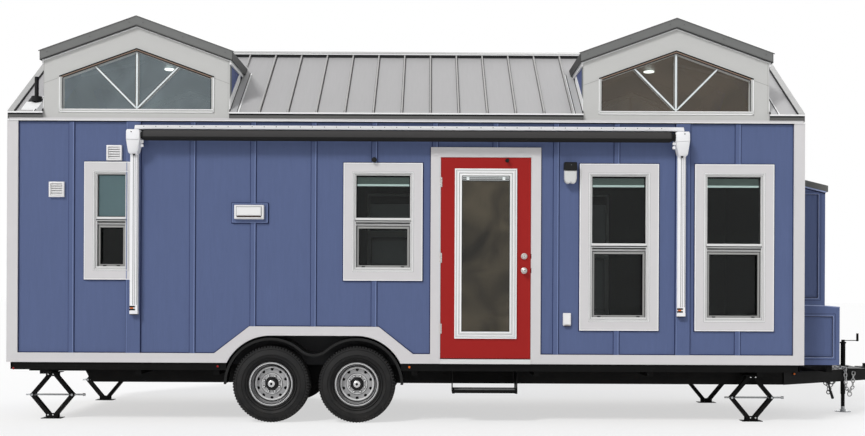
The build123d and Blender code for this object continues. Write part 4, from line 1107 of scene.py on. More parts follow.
# ---------------------------------------------------------------- walls
@dataclass
class Battens:
    """Upright battens over the panel joints, on all four walls."""

    plan: Plan
    first: float = 0.630
    pitch: float = 0.6133
    count: int = 12
    width: float = 0.054
    proud: float = 0.013
    ease: float = 0.004
    shortest: float = 0.03
    arch_flat: float = 0.655
    arch_foot: float = 1.005
    under_ridge: float = 0.118
    runs: dict[Side, list[Point]] = field(default_factory=dict)

    def blocks(self, side: Side) -> list[tuple[Flat, Flat]]:
        """What interrupts the battens on one long wall.

        Args:
            side: the wall.

        Returns:
            (x, z) of each obstacle's lower and upper corners.
        """
        plan = self.plan
        found = [plan.opening(window, plan.casing) for window in plan.windows if side in window.sides]
        if side is Side.NEAR:
            (x0, _), (x1, z1) = plan.door
            edge = plan.casing + 0.003
            found.append(((x0 - edge, plan.deck), (x1 + edge, z1 + edge)))
            found += [((low, plan.deck), (high, plan.wall_top)) for low, high in plan.mounts]
            (start, stop), (low, high) = plan.hood_span, plan.hood_heights
            found.append(((plan.rear + start, low), (plan.rear + stop, high)))
        return found

    def arch_top(self, x: float) -> float:
        """Top of the wheel arch's trim over one place, or of the skirt board away from it."""
        plan = self.plan
        share = (self.arch_foot - abs(x - plan.arch_middle)) / (self.arch_foot - self.arch_flat)
        return plan.skirt + (plan.arch_crown - plan.skirt) * min(max(share, 0), 1)

    def strip(self, x: float, z0: float, z1: float) -> Piece:
        """One length of batten on the near wall."""
        near, half = self.plan.near, self.width / 2
        return eased(box((x - half, near - self.proud, z0), (x + half, near, z1)), facing(DOORWARD), self.ease, 1)

    def long_wall(self, side: Side) -> Pieces:
        """All battens of one long wall, modelled on the near side.

        Args:
            side: the wall whose openings are left clear.

        Returns:
            The battens.
        """
        half = self.width / 2
        self.runs[side] = []
        for k in range(self.count + 1):
            x = self.plan.rear + self.first + k * self.pitch
            if x > self.plan.siding_ends[1] - self.width:
                continue
            spans = [(min(self.arch_top(x - half), self.arch_top(x + half)), self.plan.frieze - CLEAR)]
            for (x0, z0), (x1, z1) in self.blocks(side):
                if x0 - half < x < x1 + half:
                    spans = [part for a, b in spans for part in ((a, min(b, z0)), (max(a, z1), b))
                             if part[1] - part[0] > self.shortest]
            self.runs[side] += [(x, a, b) for a, b in spans]
        return [self.strip(x, a, b) for x, a, b in self.runs[side]]

    def lines(self, side: Side) -> tuple[Pieces, Pieces]:
        """The painted shadow lines beside one long wall's battens and the painted highlight along their edges.

        Args:
            side: the wall, whose battens are made already.

        Returns:
            The painted shadow lines and the painted highlights.
        """
        near, half = self.plan.near, self.width / 2
        face = near - self.proud
        dark = [box((x + a, near - 0.0012, low), (x + b, near + 0.001, high))
                for x, low, high in self.runs[side] for a, b in ((-half - 0.006, -half), (half, half + 0.007))]
        light = [box((x + half - 0.013, face - 0.0006, low), (x + half - 0.005, face + 0.001, high))
                 for x, low, high in self.runs[side]]
        return dark, light

    def end_wall(self, face: float, way: int, foot: float) -> Piece:
        """The battens of one gable end.

        Args:
            face: the wall's X.
            way: -1 at the rear, 1 at the front.
            foot: the foot of the two middle battens.

        Returns:
            The battens.
        """
        plan = self.plan
        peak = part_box("main_roof")[1].z - self.under_ridge
        pitch = (peak - plan.wall_top) / (plan.far - plan.mid_y)
        made = []
        for k, low in ((-1.5, plan.skirt), (-0.5, foot), (0.5, foot), (1.5, plan.skirt)):
            y = plan.mid_y + k * self.pitch
            top = peak - abs(y - plan.mid_y) * pitch
            made.append(box((face, y - self.width / 2, low), (face + way * self.proud, y + self.width / 2, top),
                            bevel=self.ease))
        return joined(made)

    def build(self) -> None:
        """Makes the battens of all walls."""
        plan, siding = self.plan, FrameFinishes(self.plan).siding()
        for side in Side:
            dress(side_piece(plan, self.long_wall(side), side), f"battens_{side.name.lower()}", siding)
        for side in Side:
            # The lines are painted shadow and the edges painted highlight.
            for pieces, name, finish in zip(self.lines(side), ("lines", "edges"), (BLUE_SHADOW_LINE, BLUE_HIGHLIGHT)):
                dress(side_piece(plan, pieces, side), f"batten_{name}_{side.name.lower()}", finish)
        dress(self.end_wall(plan.rear, -1, plan.skirt), "battens_rear", siding)
        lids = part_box("cabinet_lids")[1].z
        dress(self.end_wall(plan.front, 1, lids), "battens_front", siding)


@dataclass
class TrimEdges:
    """Painted highlight beads along the edges of the trim boards, and painted shadow lines where they meet the siding.
    """

    plan: Plan
    bead: float = 0.008
    proud: float = 0.0035
    line: float = 0.009
    line_depth: float = 0.0035
    arch_foot: float = 1.0115
    arch_shoulders: Flat = (-0.6515, 0.6595)

    def beads(self) -> None:
        """Makes the painted highlight beads round every window's casing."""
        plan = self.plan
        for side in Side:
            made = [ring(*plan.opening(window, grow), self.bead, plan.near - plan.board + 0.001, self.proud,
                         bevel=0.0015)
                    for window in plan.windows if side in window.sides for grow in (plan.casing, self.bead)]
            dress(side_piece(plan, made, side), f"casing_beads_{side.name.lower()}", EDGE_WHITE_AND_HIGHLIGHT)

    def frieze(self) -> None:
        """Makes the siding behind the frieze board's foot, a black strip of painted shadow under the board, and a
        painted highlight lip along its foot.
        """
        plan = self.plan
        near, edge = plan.near, plan.frieze
        left, right = plan.siding_ends
        strips = [box((left, near - 0.0018, plan.wall_top - 0.003), (right, near + 0.001, edge))]
        strips += [box((a, near - plan.mount_face, plan.wall_top - 0.0018), (b, near, edge)) for a, b in plan.mounts]
        pair(plan, strips, "siding_top_edge", FrameFinishes(plan).siding())
        frieze_shadow = box((left, near - 0.022, edge - 0.007), (right, near, edge - 0.0002), bevel=0.001)
        pair(plan, [frieze_shadow], "frieze_drip_edge", GASKET_AND_SHADE)
        lip = box((plan.rear - plan.board, near - 0.0285, edge + 0.0005),
                  (plan.front + plan.board, near - 0.0245, edge + 0.0075), bevel=0.001)
        pair(plan, [lip], "frieze_lip", EDGE_WHITE_AND_HIGHLIGHT)

    def outlines(self) -> None:
        """Makes the painted shadow lines where trim meets the blue siding, and the painted highlights on the mounting
        boards' edges.
        """
        plan = self.plan
        back, wide, thick = plan.near + 0.001, self.line, self.line_depth
        shared: Pieces = []
        near_only: Pieces = []
        for window in plan.windows:
            loop = ring(*plan.opening(window, plan.casing + wide), wide, back, thick)
            (shared if Side.FAR in window.sides else near_only).append(loop)
        left, right = plan.siding_ends
        shared += [self.upright(x, plan.frieze) for x in (left, right - wide)]
        foot, middle = plan.skirt, plan.arch_middle
        shoulders = [(middle + away, plan.arch_crown) for away in self.arch_shoulders]
        outline = [(left, foot), (middle - self.arch_foot, foot), *shoulders, (middle + self.arch_foot, foot),
                   (right, foot)]
        for (x0, z0), (x1, z1) in zip(outline, outline[1:]):
            places = [(x0, back, z0 - 0.001), (x1, back, z1 - 0.001), (x1, back, z1 + wide), (x0, back, z0 + wide)]
            shared.append(slab(places, (0, -thick, 0)))
        (x0, _), (x1, z1) = plan.door
        edge = plan.casing + 0.003
        near_only += [self.upright(x, z1 + plan.casing) for x in (x0 - edge - wide, x1 + edge)]
        near_only += [self.upright(x, plan.frieze) for a, b in plan.mounts for x in (a - wide, b)]
        low, high = ((plan.rear + x, z) for x, z in zip(plan.hood_span, plan.hood_heights))
        near_only.append(ring((low[0] - wide, low[1] - wide), (high[0] + wide, high[1] + wide), wide, back, thick))
        dress(joined([both_sides(shared, plan.mid_y)] + near_only), "siding_shadow_lines", BLUE_SHADOW_LINE)
        face = plan.near - 0.0195
        pale = [ring(low, high, 0.006, face, 0.0018)]
        pale += [box((a, face - 0.0018, foot), (a + 0.007, face, plan.wall_top)) for a, _ in plan.mounts]
        dress(joined(pale), "mount_board_edges", BLUE_HIGHLIGHT)

    def upright(self, x: float, top: float) -> Piece:
        """One painted shadow line from the skirt board up."""
        back = self.plan.near + 0.001
        return box((x, back - self.line_depth, self.plan.skirt), (x + self.line, back, top))

    def build(self) -> None:
        """Makes every part."""
        self.beads()
        self.outlines()
        self.frieze()


# ---------------------------------------------------------------- windows
@dataclass
class WindowDressing:
    """The small parts of every double-hung window: beads, screen, latches, gasket, blind, and grey lines of painted
    shade; the blinds' glow is painted light.
    """

    plan: Plan
    frame_wall: float = 0.026
    meeting: float = 0.040
    head: float = 0.024
    sash_foot: float = 0.032
    latch_inset: float = 0.075
    slat_pitch: float = 0.012
    slats: int = 6

    def near_side(self, window: Window) -> dict[str, Pieces]:
        """All dressing of one window, modelled on the near wall.

        Args:
            window: the window.

        Returns:
            Its parts by kind.
        """
        plan, face = self.plan, self.plan.near
        (left, sill), (right, head) = plan.opening(window)
        a, b = left + self.frame_wall, right - self.frame_wall
        middle = (sill + head) / 2
        upper_foot, upper_top = middle + self.meeting, head - self.head
        foot, top = sill + self.sash_foot, middle - self.meeting
        parts = {
            "frame_lip": [
                ring((left, sill), (right, head), 0.014, face + 0.004, 0.018, bevel=0.003),
                box((left + 0.012, face - 0.006, middle), (right - 0.012, face + 0.012, middle + 0.02), bevel=0.004)],
            "gasket": [
                ring((a, upper_foot), (b, upper_top), 0.010, face + 0.036, 0.006, bevel=0.001),
                ring((a + 0.027, foot + 0.027), (b - 0.027, top - 0.027), 0.008, face + 0.032, 0.008, bevel=0.001),
                ring((a, foot - 0.003), (b, top + 0.002), 0.007, face + 0.030, 0.010),
                box((left + 0.01, face + 0.002, middle - 0.018), (right - 0.01, face + 0.02, middle - 0.009),
                    bevel=0.001)],
            # Grey rings round the casing and inside the frame: painted shade.
            "line": [
                ring(*plan.opening(window, 0.010), 0.0035, face - plan.board + 0.001, 0.0022),
                ring(*plan.opening(window, -0.0145), 0.003, face - 0.004, 0.004)],
            "screen": [
                ring((a + 0.007, foot + 0.003), (b - 0.007, top - 0.006), 0.021, face + 0.030, 0.012, bevel=0.002)],
            "latch": [
                box((x - 0.017, face + 0.010, foot + 0.003), (x + 0.017, face + 0.021, foot + 0.015), bevel=0.003)
                for x in (a + self.latch_inset, b - self.latch_inset)]}
        if window.blind:
            hang = upper_top - 0.010
            tops = [hang - 0.004 - self.slat_pitch * k for k in range(self.slats)]
            parts["blind"] = [
                box((a + 0.008, face + 0.068, z - 0.010), (b - 0.008, face + 0.094 - 0.003 * (k % 2), z), bevel=0.002)
                for k, z in enumerate(tops)]
            parts["blind_rail"] = [
                box((a + 0.006, face + 0.062, hang - 0.092), (b - 0.006, face + 0.096, hang - 0.074), bevel=0.003)]
        else:
            parts["film"] = [
                box((a + 0.002, face + 0.044, upper_foot + 0.004), (b - 0.002, face + 0.046, upper_top - 0.004),
                    bevel=0.0004)]
        return parts

    def build(self) -> None:
        """Makes the dressing of every window, one object for each kind of part on each wall."""
        finishes = {"frame_lip": VINYL, "gasket": GASKET_AND_SHADE, "screen": SCREEN_METAL, "latch": GASKET_AND_SHADE, "blind": BLIND,
                    "blind_rail": BLIND_RAIL, "film": FILM, "line": GROOVE_SHADE}
        for side in Side:
            kinds: dict[str, Pieces] = {}
            for window in self.plan.windows:
                if side in window.sides:
                    for kind, pieces in self.near_side(window).items():
                        kinds.setdefault(kind, []).extend(pieces)
            for kind, pieces in kinds.items():
                # The far side's blinds and rails take the plain blind_shadow finish, painted shade in place of the
                # glow.
                finish = BLIND_DARK if side is Side.FAR and finishes[kind].glow else finishes[kind]
                dress(side_piece(self.plan, pieces, side), f"window_{kind}_{side.name.lower()}", finish)


# ---------------------------------------------------------------- roof
@dataclass(frozen=True)
class RoofShape:
    """The slopes and edges of the main roof and of the two dormers."""

    plan: Plan
    ridge: float = 4.018
    pitch: float = 0.878 / 1.3
    reach: float = 1.3
    end: float = 0.012
    dormer_ridge: float = 4.106
    dormer_pitch: float = 0.361
    dormer_depth: float = 0.09
    dormer_half: float = 0.942
    dormer_reach: float = 0.970
    offset: float = 2.733
    fascia_gap: float = 0.0032

    @property
    def centres(self) -> Flat:
        """The X of the two dormers."""
        return (self.plan.mid_x - self.offset, self.plan.mid_x + self.offset)

    @property
    def fascia(self) -> float:
        """The Y of the near fascia's face."""
        return self.plan.mid_y - self.reach - self.fascia_gap

    def top(self, away: float) -> float:
        """Height of the main roof at a distance from the middle."""
        return self.ridge - self.pitch * away

    def dormer_top(self, away: float) -> float:
        """Height of a dormer's roof at a distance from its ridge."""
        return self.dormer_ridge - self.dormer_pitch * away

    def meets(self, height: float) -> float:
        """The Y at which the main roof's near slope has a height."""
        return self.plan.mid_y - (self.ridge - height) / self.pitch

    def up_slope(self, x: float, width: float, start: float, stop: float, thick: float) -> Piece:
        """A flat strip that runs up the near slope.

        Args:
            x: its lower X.
            width: its width along the house.
            start: its foot's distance from the middle.
            stop: its head's distance from the middle.
            thick: its upright thickness.

        Returns:
            The strip.
        """
        places = [(x, self.plan.mid_y - away, self.top(away) + up)
                  for away, up in ((start, CLEAR), (stop, CLEAR), (stop, thick), (start, thick))]
        return slab(places, (width, 0, 0))

    def rake(self, centre: float, edges: Flat, ends: Flat, face: float, depth: float) -> Pieces:
        """Two strips that follow a dormer's slopes on a plane that faces the door side.

        Args:
            centre: the dormer's X.
            edges: the strip's lower and upper edges, measured from the roof's surface.
            ends: its inner and outer ends' distances from the ridge.
            face: the Y of its back.
            depth: how far it stands out.

        Returns:
            The left and the right strip.
        """
        (low, high), (start, stop) = edges, ends
        corners = ((start, low), (stop, low), (stop, high), (start, high))
        return [slab([(centre + way * away, face, self.dormer_top(away) + up) for away, up in corners],
                     (0, -depth, 0)) for way in (-1, 1)]


@dataclass
class RoofDressing:
    """Flashings, painted shadow lines, painted highlights, eave edge strips and screws of the roofs."""

    shape: RoofShape
    seam_pitch: float = 0.288
    seam_shift: float = -0.046
    seam_range: tuple[int, int] = (-5, 7)
    cap_half: float = 0.105
    cap_rise: float = 0.021
    cap_overlap: float = 0.33
    screw_start: float = 0.15
    screw_pitch: float = 0.6
    vent_spot: float = 0.213

    def valleys(self) -> None:
        """Makes the flashings, painted shadow lines, trims and fascias of the dormers' sides; the fascias are darkened
        as painted shade.
        """
        shape, plan = self.shape, self.shape.plan
        grey, dark, white, fascia = [], [], [], []
        edge_top = shape.dormer_top(shape.dormer_reach)
        low = edge_top - shape.dormer_depth
        cheek_top = shape.dormer_top(shape.dormer_half) - shape.dormer_depth
        wall_y, front_y = plan.near - 0.001, plan.near - 0.028
        foot, head_y = shape.top(plan.mid_y - plan.near), shape.meets(cheek_top - 0.120)
        strip = ((wall_y, foot + 0.004), (head_y, cheek_top - 0.116), (head_y, cheek_top - 0.002),
                 (wall_y, foot + 0.120))
        back_y = plan.mid_y - 0.56
        soffit = ((wall_y, cheek_top - 0.046), (back_y, cheek_top - 0.046), (back_y, cheek_top - 0.001),
                  (wall_y, cheek_top - 0.001))
        board = ((front_y, low - 0.002), (shape.meets(low), low - 0.002), (shape.meets(edge_top), edge_top),
                 (front_y, edge_top))
        for centre in shape.centres:
            for way in (-1, 1):
                wall, edge = centre + way * shape.dormer_half, centre + way * shape.dormer_reach
                for pieces, near, far, thick in ((dark, 0.001, 0.010, 0.020), (grey, 0.010, 0.078, 0.008),
                                                 (dark, 0.078, 0.086, 0.012), (white, 0.086, 0.100, 0.010)):
                    x = min(wall + way * near, wall + way * far)
                    stop = plan.mid_y - shape.meets(low) - 0.02
                    pieces.append(shape.up_slope(x, far - near, shape.reach - 0.002, stop, thick))
                for pieces, x, outline, thick in ((white, wall, strip, 0.006), (white, wall, soffit, 0.016),
                                                  (fascia, edge, board, 0.005)):
                    pieces.append(slab([(x, y, z) for y, z in outline], (way * thick, 0, 0)))
        pair(plan, grey, "dormer_side_flashing", VALLEY)
        pair(plan, dark, "dormer_side_lines", SHADOW_TRIM)
        pair(plan, white, "dormer_side_trim", EDGE_WHITE_AND_HIGHLIGHT)
        pair(plan, fascia, "dormer_side_fascia", EAVE_SIDE_SHADE)

    def ridge_line(self) -> None:
        """Makes the ridge cap, the painted shadow under it and its hem in painted highlight."""
        shape, plan = self.shape, self.shape.plan
        (first, last), lap = shape.centres, self.cap_overlap
        spans = ((first + lap, last - lap), (plan.rear + 0.07, first - lap), (last + lap, plan.front - 0.07))
        peak = shape.ridge + self.cap_rise
        foot, hem, lip = (shape.top(self.cap_half) + rise for rise in (0.002, 0.033, 0.050))
        face = plan.mid_y - self.cap_half
        dark = [box((a, face - 0.004, foot), (b, face, hem)) for a, b in spans]
        light = [box((a, face - 0.006, hem), (b, face - 0.002, lip), bevel=0.001) for a, b in spans]
        cap = [slab([(a, face - 0.006, lip - 0.004), (a, plan.mid_y, peak - 0.004), (a, plan.mid_y, peak),
                     (a, face - 0.006, lip)], (b - a, 0, 0)) for a, b in spans]
        pair(plan, cap, "ridge_cap", FLASHING)
        pair(plan, dark, "ridge_closure", SHADOW_TRIM)
        pair(plan, light, "ridge_cap_hem", EDGE_WHITE_AND_HIGHLIGHT)

    def sheets(self) -> None:
        """Makes the painted shadow line inside the end flashings and the painted shadow lines beside the standing
        seams.
        """
        shape, plan = self.shape, self.shape.plan
        foot, head = shape.reach - 0.002, 0.115
        starts = (plan.rear - shape.end + 0.062, plan.front + shape.end - 0.062 - 0.012)
        lines = [shape.up_slope(x, 0.012, foot, 0.02, 0.016) for x in starts]
        pair(plan, lines, "end_flashing_lines", SHADOW_TRIM)
        seams = [plan.mid_x + self.seam_shift + self.seam_pitch * k for k in range(*self.seam_range)]
        made = [shape.up_slope(x + shift, width, foot, head, 0.003)
                for x in seams for shift, width in ((0.007, 0.008), (-0.012, 0.004))]
        pair(plan, made, "seam_foot_lines", SEAM_SHADOW)

    def eaves(self) -> None:
        """Makes the eave's edge strip in painted highlight, a painted shadow line under it, the grey band and the
        screws of the eaves' fascias.
        """
        shape, plan = self.shape, self.shape.plan
        (first, last), half = shape.centres, shape.dormer_half
        spans = ((plan.rear - shape.end, first - half), (first + half, last - half),
                 (last + half, plan.front + shape.end))
        face, top = shape.fascia, shape.top(shape.reach)
        for name, finish, high, low, out in (("eave_drip_edge", EDGE_WHITE_AND_HIGHLIGHT, 0.001, -0.013, 0.012),
                                             ("eave_groove", SHADOW_TRIM, -0.013, -0.029, 0.001),
                                             ("eave_band", EAVE_DARK, -0.029, -0.058, 0.003)):
            pair(plan, [box((a, face - out, top + low), (b, face, top + high)) for a, b in spans], name, finish)
        screw = rod((0, face - 0.005, top - 0.043), (0, face - 0.001, top - 0.043), SCREW_RADIUS, sides=10)
        spots = [x for a, b in spans for k in range(int((b - a) / self.screw_pitch) + 1)
                 if (x := a + self.screw_start + self.screw_pitch * k) < b]
        pair(plan, in_row(screw, spots), "eave_screws", SCREW)

    def build(self) -> None:
        """Makes every part, with the pale plate at the vent's foot last."""
        self.valleys()
        self.ridge_line()
        self.sheets()
        self.eaves()
        start = self.shape.plan.rear + self.vent_spot - 0.10
        dress(self.shape.up_slope(start, 0.16, 1.27, 1.13, 0.013), "vent_plate", EDGE_WHITE_AND_HIGHLIGHT)


@dataclass
class DormerDressing:
    """Painted shade lines and highlight beads round the dormers' windows, rake trim, panel joints and ceiling lights.
    """

    shape: RoofShape
    glass_half: float = 0.75
    frame: float = 0.035
    sill: float = 3.174
    side: float = 3.484
    diagonal: tuple[Flat, Flat] = ((0.010, 3.190), (0.421, 3.605))
    light_spots: tuple[Flat, ...] = ((-0.115, 0.62), (0.105, 0.65))
    light_radius: float = 0.062
    rake_screws: tuple[float, ...] = (-0.90, -0.47, -0.07, 0.07, 0.47, 0.90)

    def window_lines(self) -> None:
        """Makes the tan and the dark painted shade lines along the windows' upper edges, and the painted highlight
        beads round them.
        """
        shape, plan = self.shape, self.shape.plan
        face, half, frame = plan.near - 0.0042, self.glass_half, self.frame
        glass = self.side + shape.dormer_pitch * half - shape.dormer_ridge
        tan, dark, light = [], [], []
        for centre in shape.centres:
            for pieces, low, high, wider, depth in ((dark, 0.023, 0.036, 0.034, 0.004),
                                                    (tan, 0.011, 0.023, 0.012, 0.002),
                                                    (dark, 0, 0.011, 0, 0.003)):
                pieces += shape.rake(centre, (glass + low, glass + high), (0, half + wider), face, depth)
            for way in (-1, 1):
                x = centre + way * half
                dark.append(box((x, face - 0.002, self.sill), (x + way * 0.007, face, self.side)))
                x += way * (frame - BEAD)
                light.append(box((x, face - 0.003, self.sill - frame), (x + way * BEAD, face, self.side + 0.012)))
            for drop in (0.001, frame - BEAD):
                light.append(box((centre - half - frame, face - 0.003, self.sill - drop - BEAD),
                                 (centre + half + frame, face, self.sill - drop)))
        pair(plan, tan, "dormer_window_stops", TAN_SHADE)
        pair(plan, dark, "dormer_window_lines", GASKET_AND_SHADE)
        pair(plan, light, "dormer_window_beads", EDGE_WHITE_AND_HIGHLIGHT)

    def bars(self) -> None:
        """Makes the pale faces of the windows' bars and the painted shadow lines beside them."""
        shape, plan = self.shape, self.shape.plan
        face = plan.near + 0.012
        white, dark = [], []
        crown = self.side + shape.dormer_pitch * self.glass_half
        for centre in shape.centres:
            for a, b, pieces, out in ((-0.0065, 0.0065, white, 0.0025), (-0.0175, -0.013, dark, 0.0012),
                                      (0.013, 0.0175, dark, 0.0012)):
                pieces.append(box((centre + a, face - out, self.sill + 0.004), (centre + b, face, crown - 0.012)))
            for way in (-1, 1):
                start, stop = (Vector((centre + way * away, face, z)) for away, z in self.diagonal)
                across = Vector((stop.z - start.z, 0, start.x - stop.x)).normalized()
                for a, b, pieces, out in ((-0.0055, 0.0055, white, 0.0025), (-0.0145, -0.0105, dark, 0.0012),
                                          (0.0105, 0.0145, dark, 0.0012)):
                    corners = [start + across * a, stop + across * a, stop + across * b, start + across * b]
                    pieces.append(slab([tuple(c) for c in corners], (0, -out, 0)))
        pair(plan, white, "dormer_bar_faces", BAR_WHITE)
        pair(plan, dark, "dormer_bar_lines", GASKET_AND_SHADE)

    def rakes(self) -> None:
        """Makes the rake trim's edges, the painted shadow line and painted highlight bead under it, and its screws."""
        shape, plan = self.shape, self.shape.plan
        face, reach = shape.fascia, shape.dormer_reach
        edge, light, dark, screws = [], [], [], []
        for centre in shape.centres:
            edge += shape.rake(centre, (0.0, 0.010), (0, reach + 0.018), face, 0.003)
            edge += shape.rake(centre, (-0.088, -0.080), (0, reach), face, 0.002)
            dark += shape.rake(centre, (-0.096, -0.088), (0, reach), face + 0.003, 0.006)
            light += shape.rake(centre, (-0.106, -0.097), (0, shape.dormer_half), plan.near - 0.0005, 0.003)
            for away in self.rake_screws:
                x, z = centre + away, shape.dormer_top(abs(away)) - 0.036
                screws.append(rod((x, face, z), (x, face - 0.004, z), SCREW_RADIUS, sides=10))
        pair(plan, edge, "rake_edges", EAVE_DARK)
        pair(plan, light, "rake_beads", EDGE_WHITE_AND_HIGHLIGHT)
        pair(plan, dark, "rake_lines", SHADOW_TRIM)
        pair(plan, screws, "rake_screws", SCREW)

    def joints(self) -> None:
        """Makes the fine panel joints of the dormers' faces."""
        shape, plan = self.shape, self.shape.plan
        back, inset = plan.near + 0.001, self.glass_half + self.frame
        made = []
        for centre in shape.centres:
            for way in (-1, 1):
                inner, outer = centre + way * inset, centre + way * (shape.dormer_half - 0.002)
                places = [(inner, back, self.side + 0.004), (outer, back, self.side - 0.052),
                          (outer, back, self.side - 0.048), (inner, back, self.side + 0.008)]
                made.append(slab(places, (0, -0.002, 0)))
                low = min(outer, outer - way * 0.015)
                made.append(box((low, back - 0.002, 3.15), (low + 0.002, back, 3.68)))
        pair(plan, made, "dormer_joints", JOINT)

    def lamps(self) -> None:
        """Makes the round lights in the dormers' ceilings."""
        shape, plan = self.shape, self.shape.plan
        made = []
        for centre, (away, across) in zip(shape.centres, self.light_spots):
            x, y, z = centre + away, plan.mid_y + across, shape.dormer_top(abs(away)) - shape.dormer_depth
            made.append(rod((x, y, z - 0.030), (x, y, z - 0.018), self.light_radius, bevel=0.003, sides=32))
        dress(joined(made), "ceiling_lights", LIGHT_DISC)

    def build(self) -> None:
        """Makes every part."""
        self.window_lines()
        self.bars()
        self.rakes()
        self.joints()
        self.lamps()


# ---------------------------------------------------------------- awning
@dataclass
class AwningDressing:
    """The roller awning: two arms with moulded heads, the wall rail and the rolled fabric."""

    plan: Plan
    low: float = 1.090
    head_low: float = 2.712
    head_high: float = 2.948
    crease: float = 2.846
    out: float = 0.165
    arm_half: float = 0.040
    arm_depth: float = 0.046
    rail_low: float = 2.966
    rail_high: float = 3.006
    rail_back: float = 0.0253
    roll: float = 0.053
    roll_height: float = 2.894
    screw_pitch: float = 0.1215
    inward: Flat = (0.0185, -0.0245)

    @property
    def face(self) -> float:
        """The Y of the boards that carry the arms."""
        return self.plan.near - self.plan.mount_face

    @property
    def arms(self) -> list[float]:
        """The X of the two arms' middles."""
        return [self.plan.rear + spot + shift for spot, shift in zip(self.plan.mount_spots, self.inward)]

    def head(self, x: float, inward: int) -> Pieces:
        """One moulded head: a rounded upper block and a lower part that narrows to the arm.

        Args:
            x: the arm's middle.
            inward: the direction of the roll along X.

        Returns:
            The two blocks.
        """
        front = self.plan.near - self.out
        upper = [(-0.050, self.head_high), (-0.059, self.head_high - 0.018), (-0.059, self.crease),
                 (0.080, self.crease), (0.080, self.head_high - 0.018), (0.066, self.head_high)]
        lower = [(-0.059, self.crease), (-0.052, self.head_low + 0.014), (-0.042, self.head_low),
                 (0.037, self.head_low), (0.047, self.head_low + 0.014), (0.080, self.crease)]
        made = []
        for outline in (upper, lower):
            block = slab([(x + inward * a, self.face, z) for a, z in outline], (0, front - self.face, 0))
            for rise, back in ((0.001, 0.062), (0.03, 0.054)) if outline is lower else ():
                pulled(block, lambda v: v.co.y < front + 0.001 and v.co.z < self.head_low + rise, (0, back, 0))
            made.append(eased(block, lambda face: face.normal.y < -0.75, 0.013))
        return made

    def arm(self, x: float) -> Pieces:
        """One folded arm channel and its foot."""
        half, face, low = self.arm_half, self.face, self.low
        return [box((x - half, face - self.arm_depth, low + 0.008), (x + half, face, self.head_low + 0.02),
                    bevel=0.004),
                box((x - half - 0.002, face - 0.050, low + 0.006), (x + half + 0.002, face - 0.001, low + 0.044),
                    bevel=0.005)]

    def frame(self) -> None:
        """Makes the arms, their small parts, and the wall rail with its screws."""
        plan, face, front = self.plan, self.face, self.face - self.arm_depth
        white, grooves, black, amber = [], [], [], []
        for x, inward in zip(self.arms, (1, -1)):
            white += self.head(x, inward) + self.arm(x)
            # Grey strips that paint the shade in the arm channel's grooves.
            for away, width in ((-0.007, 0.006), (0.011, 0.004), (0.031, 0.005)):
                grooves.append(box((x + away - width / 2, front - 0.0012, self.low + 0.1),
                                   (x + away + width / 2, front, self.head_low - 0.01)))
            # Two dark slots in each foot, drawn as black strips: painted shade.
            for z in (1.144, 1.173):
                black.append(box((x - 0.044, front - 0.003, z - 0.008), (x + 0.015, front, z + 0.008), bevel=0.001))
            amber.append(box((x - 0.034, front - 0.004, 1.153), (x - 0.002, front - 0.001, 1.164), bevel=0.001))
            black.append(box((x - 0.036, face - 0.048, self.low), (x + 0.036, face - 0.004, self.low + 0.007)))
            tip = front - 0.002
            black.append(slab([(x - 0.014, tip, self.head_low), (x + 0.014, tip, self.head_low),
                               (x, tip, self.head_low - 0.022)], (0, -0.012, 0)))
            knob_x, knob_y, knob_z = x - inward * 0.004, plan.near - self.out, self.head_high - 0.026
            black.append(rod((knob_x, knob_y + 0.002, knob_z), (knob_x, knob_y - 0.004, knob_z), 0.006, sides=12))
            for z in (self.crease - 0.015, self.crease - 0.055):
                white.append(box((x + inward * 0.076, plan.near - 0.12, z - 0.014),
                                 (x + inward * 0.104, plan.near - 0.09, z + 0.014), bevel=0.004))
        start, stop = self.arms[0] + 0.001, self.arms[1] + 0.022
        back, low, high = plan.near - self.rail_back, self.rail_low, self.rail_high
        white.append(slab([(start - 0.008, back, low), (stop + 0.008, back, low), (stop, back, high),
                           (start, back, high)], (0, -0.020, 0), bevel=0.004))
        white.append(box((start + 0.09, plan.near - 0.026, low + 0.01), (stop - 0.09, plan.near - 0.0003, high - 0.01)))
        # A black strip under the rail: painted shadow.
        black.append(box((start + 0.04, plan.near - 0.0248, low - 0.013),
                         (stop - 0.04, plan.near - 0.021, low - 0.001)))
        screw = rod((0, back - 0.0225, high - 0.013), (0, back - 0.019, high - 0.013), 0.0045, sides=10)
        count = int((stop - start - 0.1) / self.screw_pitch)
        screws = in_row(screw, [start + 0.09 + self.screw_pitch * k for k in range(count)])
        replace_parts(dress(joined(white), "awning_arms_and_rail", POWDER), "awning_frame")
        for pieces, name, finish in ((grooves, "awning_grooves", GROOVE_SHADE), (black, "awning_black_parts", GASKET_AND_SHADE),
                                     (amber, "awning_catches", AMBER), (screws, "rail_screws", SCREW)):
            dress(joined(pieces), name, finish)

    def fabric(self) -> None:
        """Makes the rolled fabric and the roll's ends."""
        y, z, radius = self.plan.near - self.out + self.roll + 0.004, self.roll_height, self.roll
        start, stop = self.arms[0] + 0.108, self.arms[1] - 0.124
        length = stop - start
        profile = [(0.0, 0.0), (radius - 0.010, 0.0), (radius - 0.002, 0.006), (radius, 0.02),
                   (radius, length - 0.02), (radius - 0.002, length - 0.006), (radius - 0.010, length), (0.0, length)]
        roll = turned(profile, (start, y, z), (1, 0, 0), steps=48)
        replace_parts(dress(roll, "awning_fabric_roll", FABRIC), "awning_roll")
        caps = []
        for end, way in ((start, -1), (stop, 1)):
            for radius, a, b in ((0.047, 0.0, 0.014), (0.036, 0.014, 0.03), (0.043, 0.03, 0.05)):
                low, high = sorted((end + way * a, end + way * b))
                caps.append(rod((low, y, z), (high, y, z), radius, bevel=0.003))
        dress(joined(caps), "awning_roll_ends", GASKET_AND_SHADE)

    def build(self) -> None:
        """Makes the awning's parts."""
        self.frame()
        self.fabric()


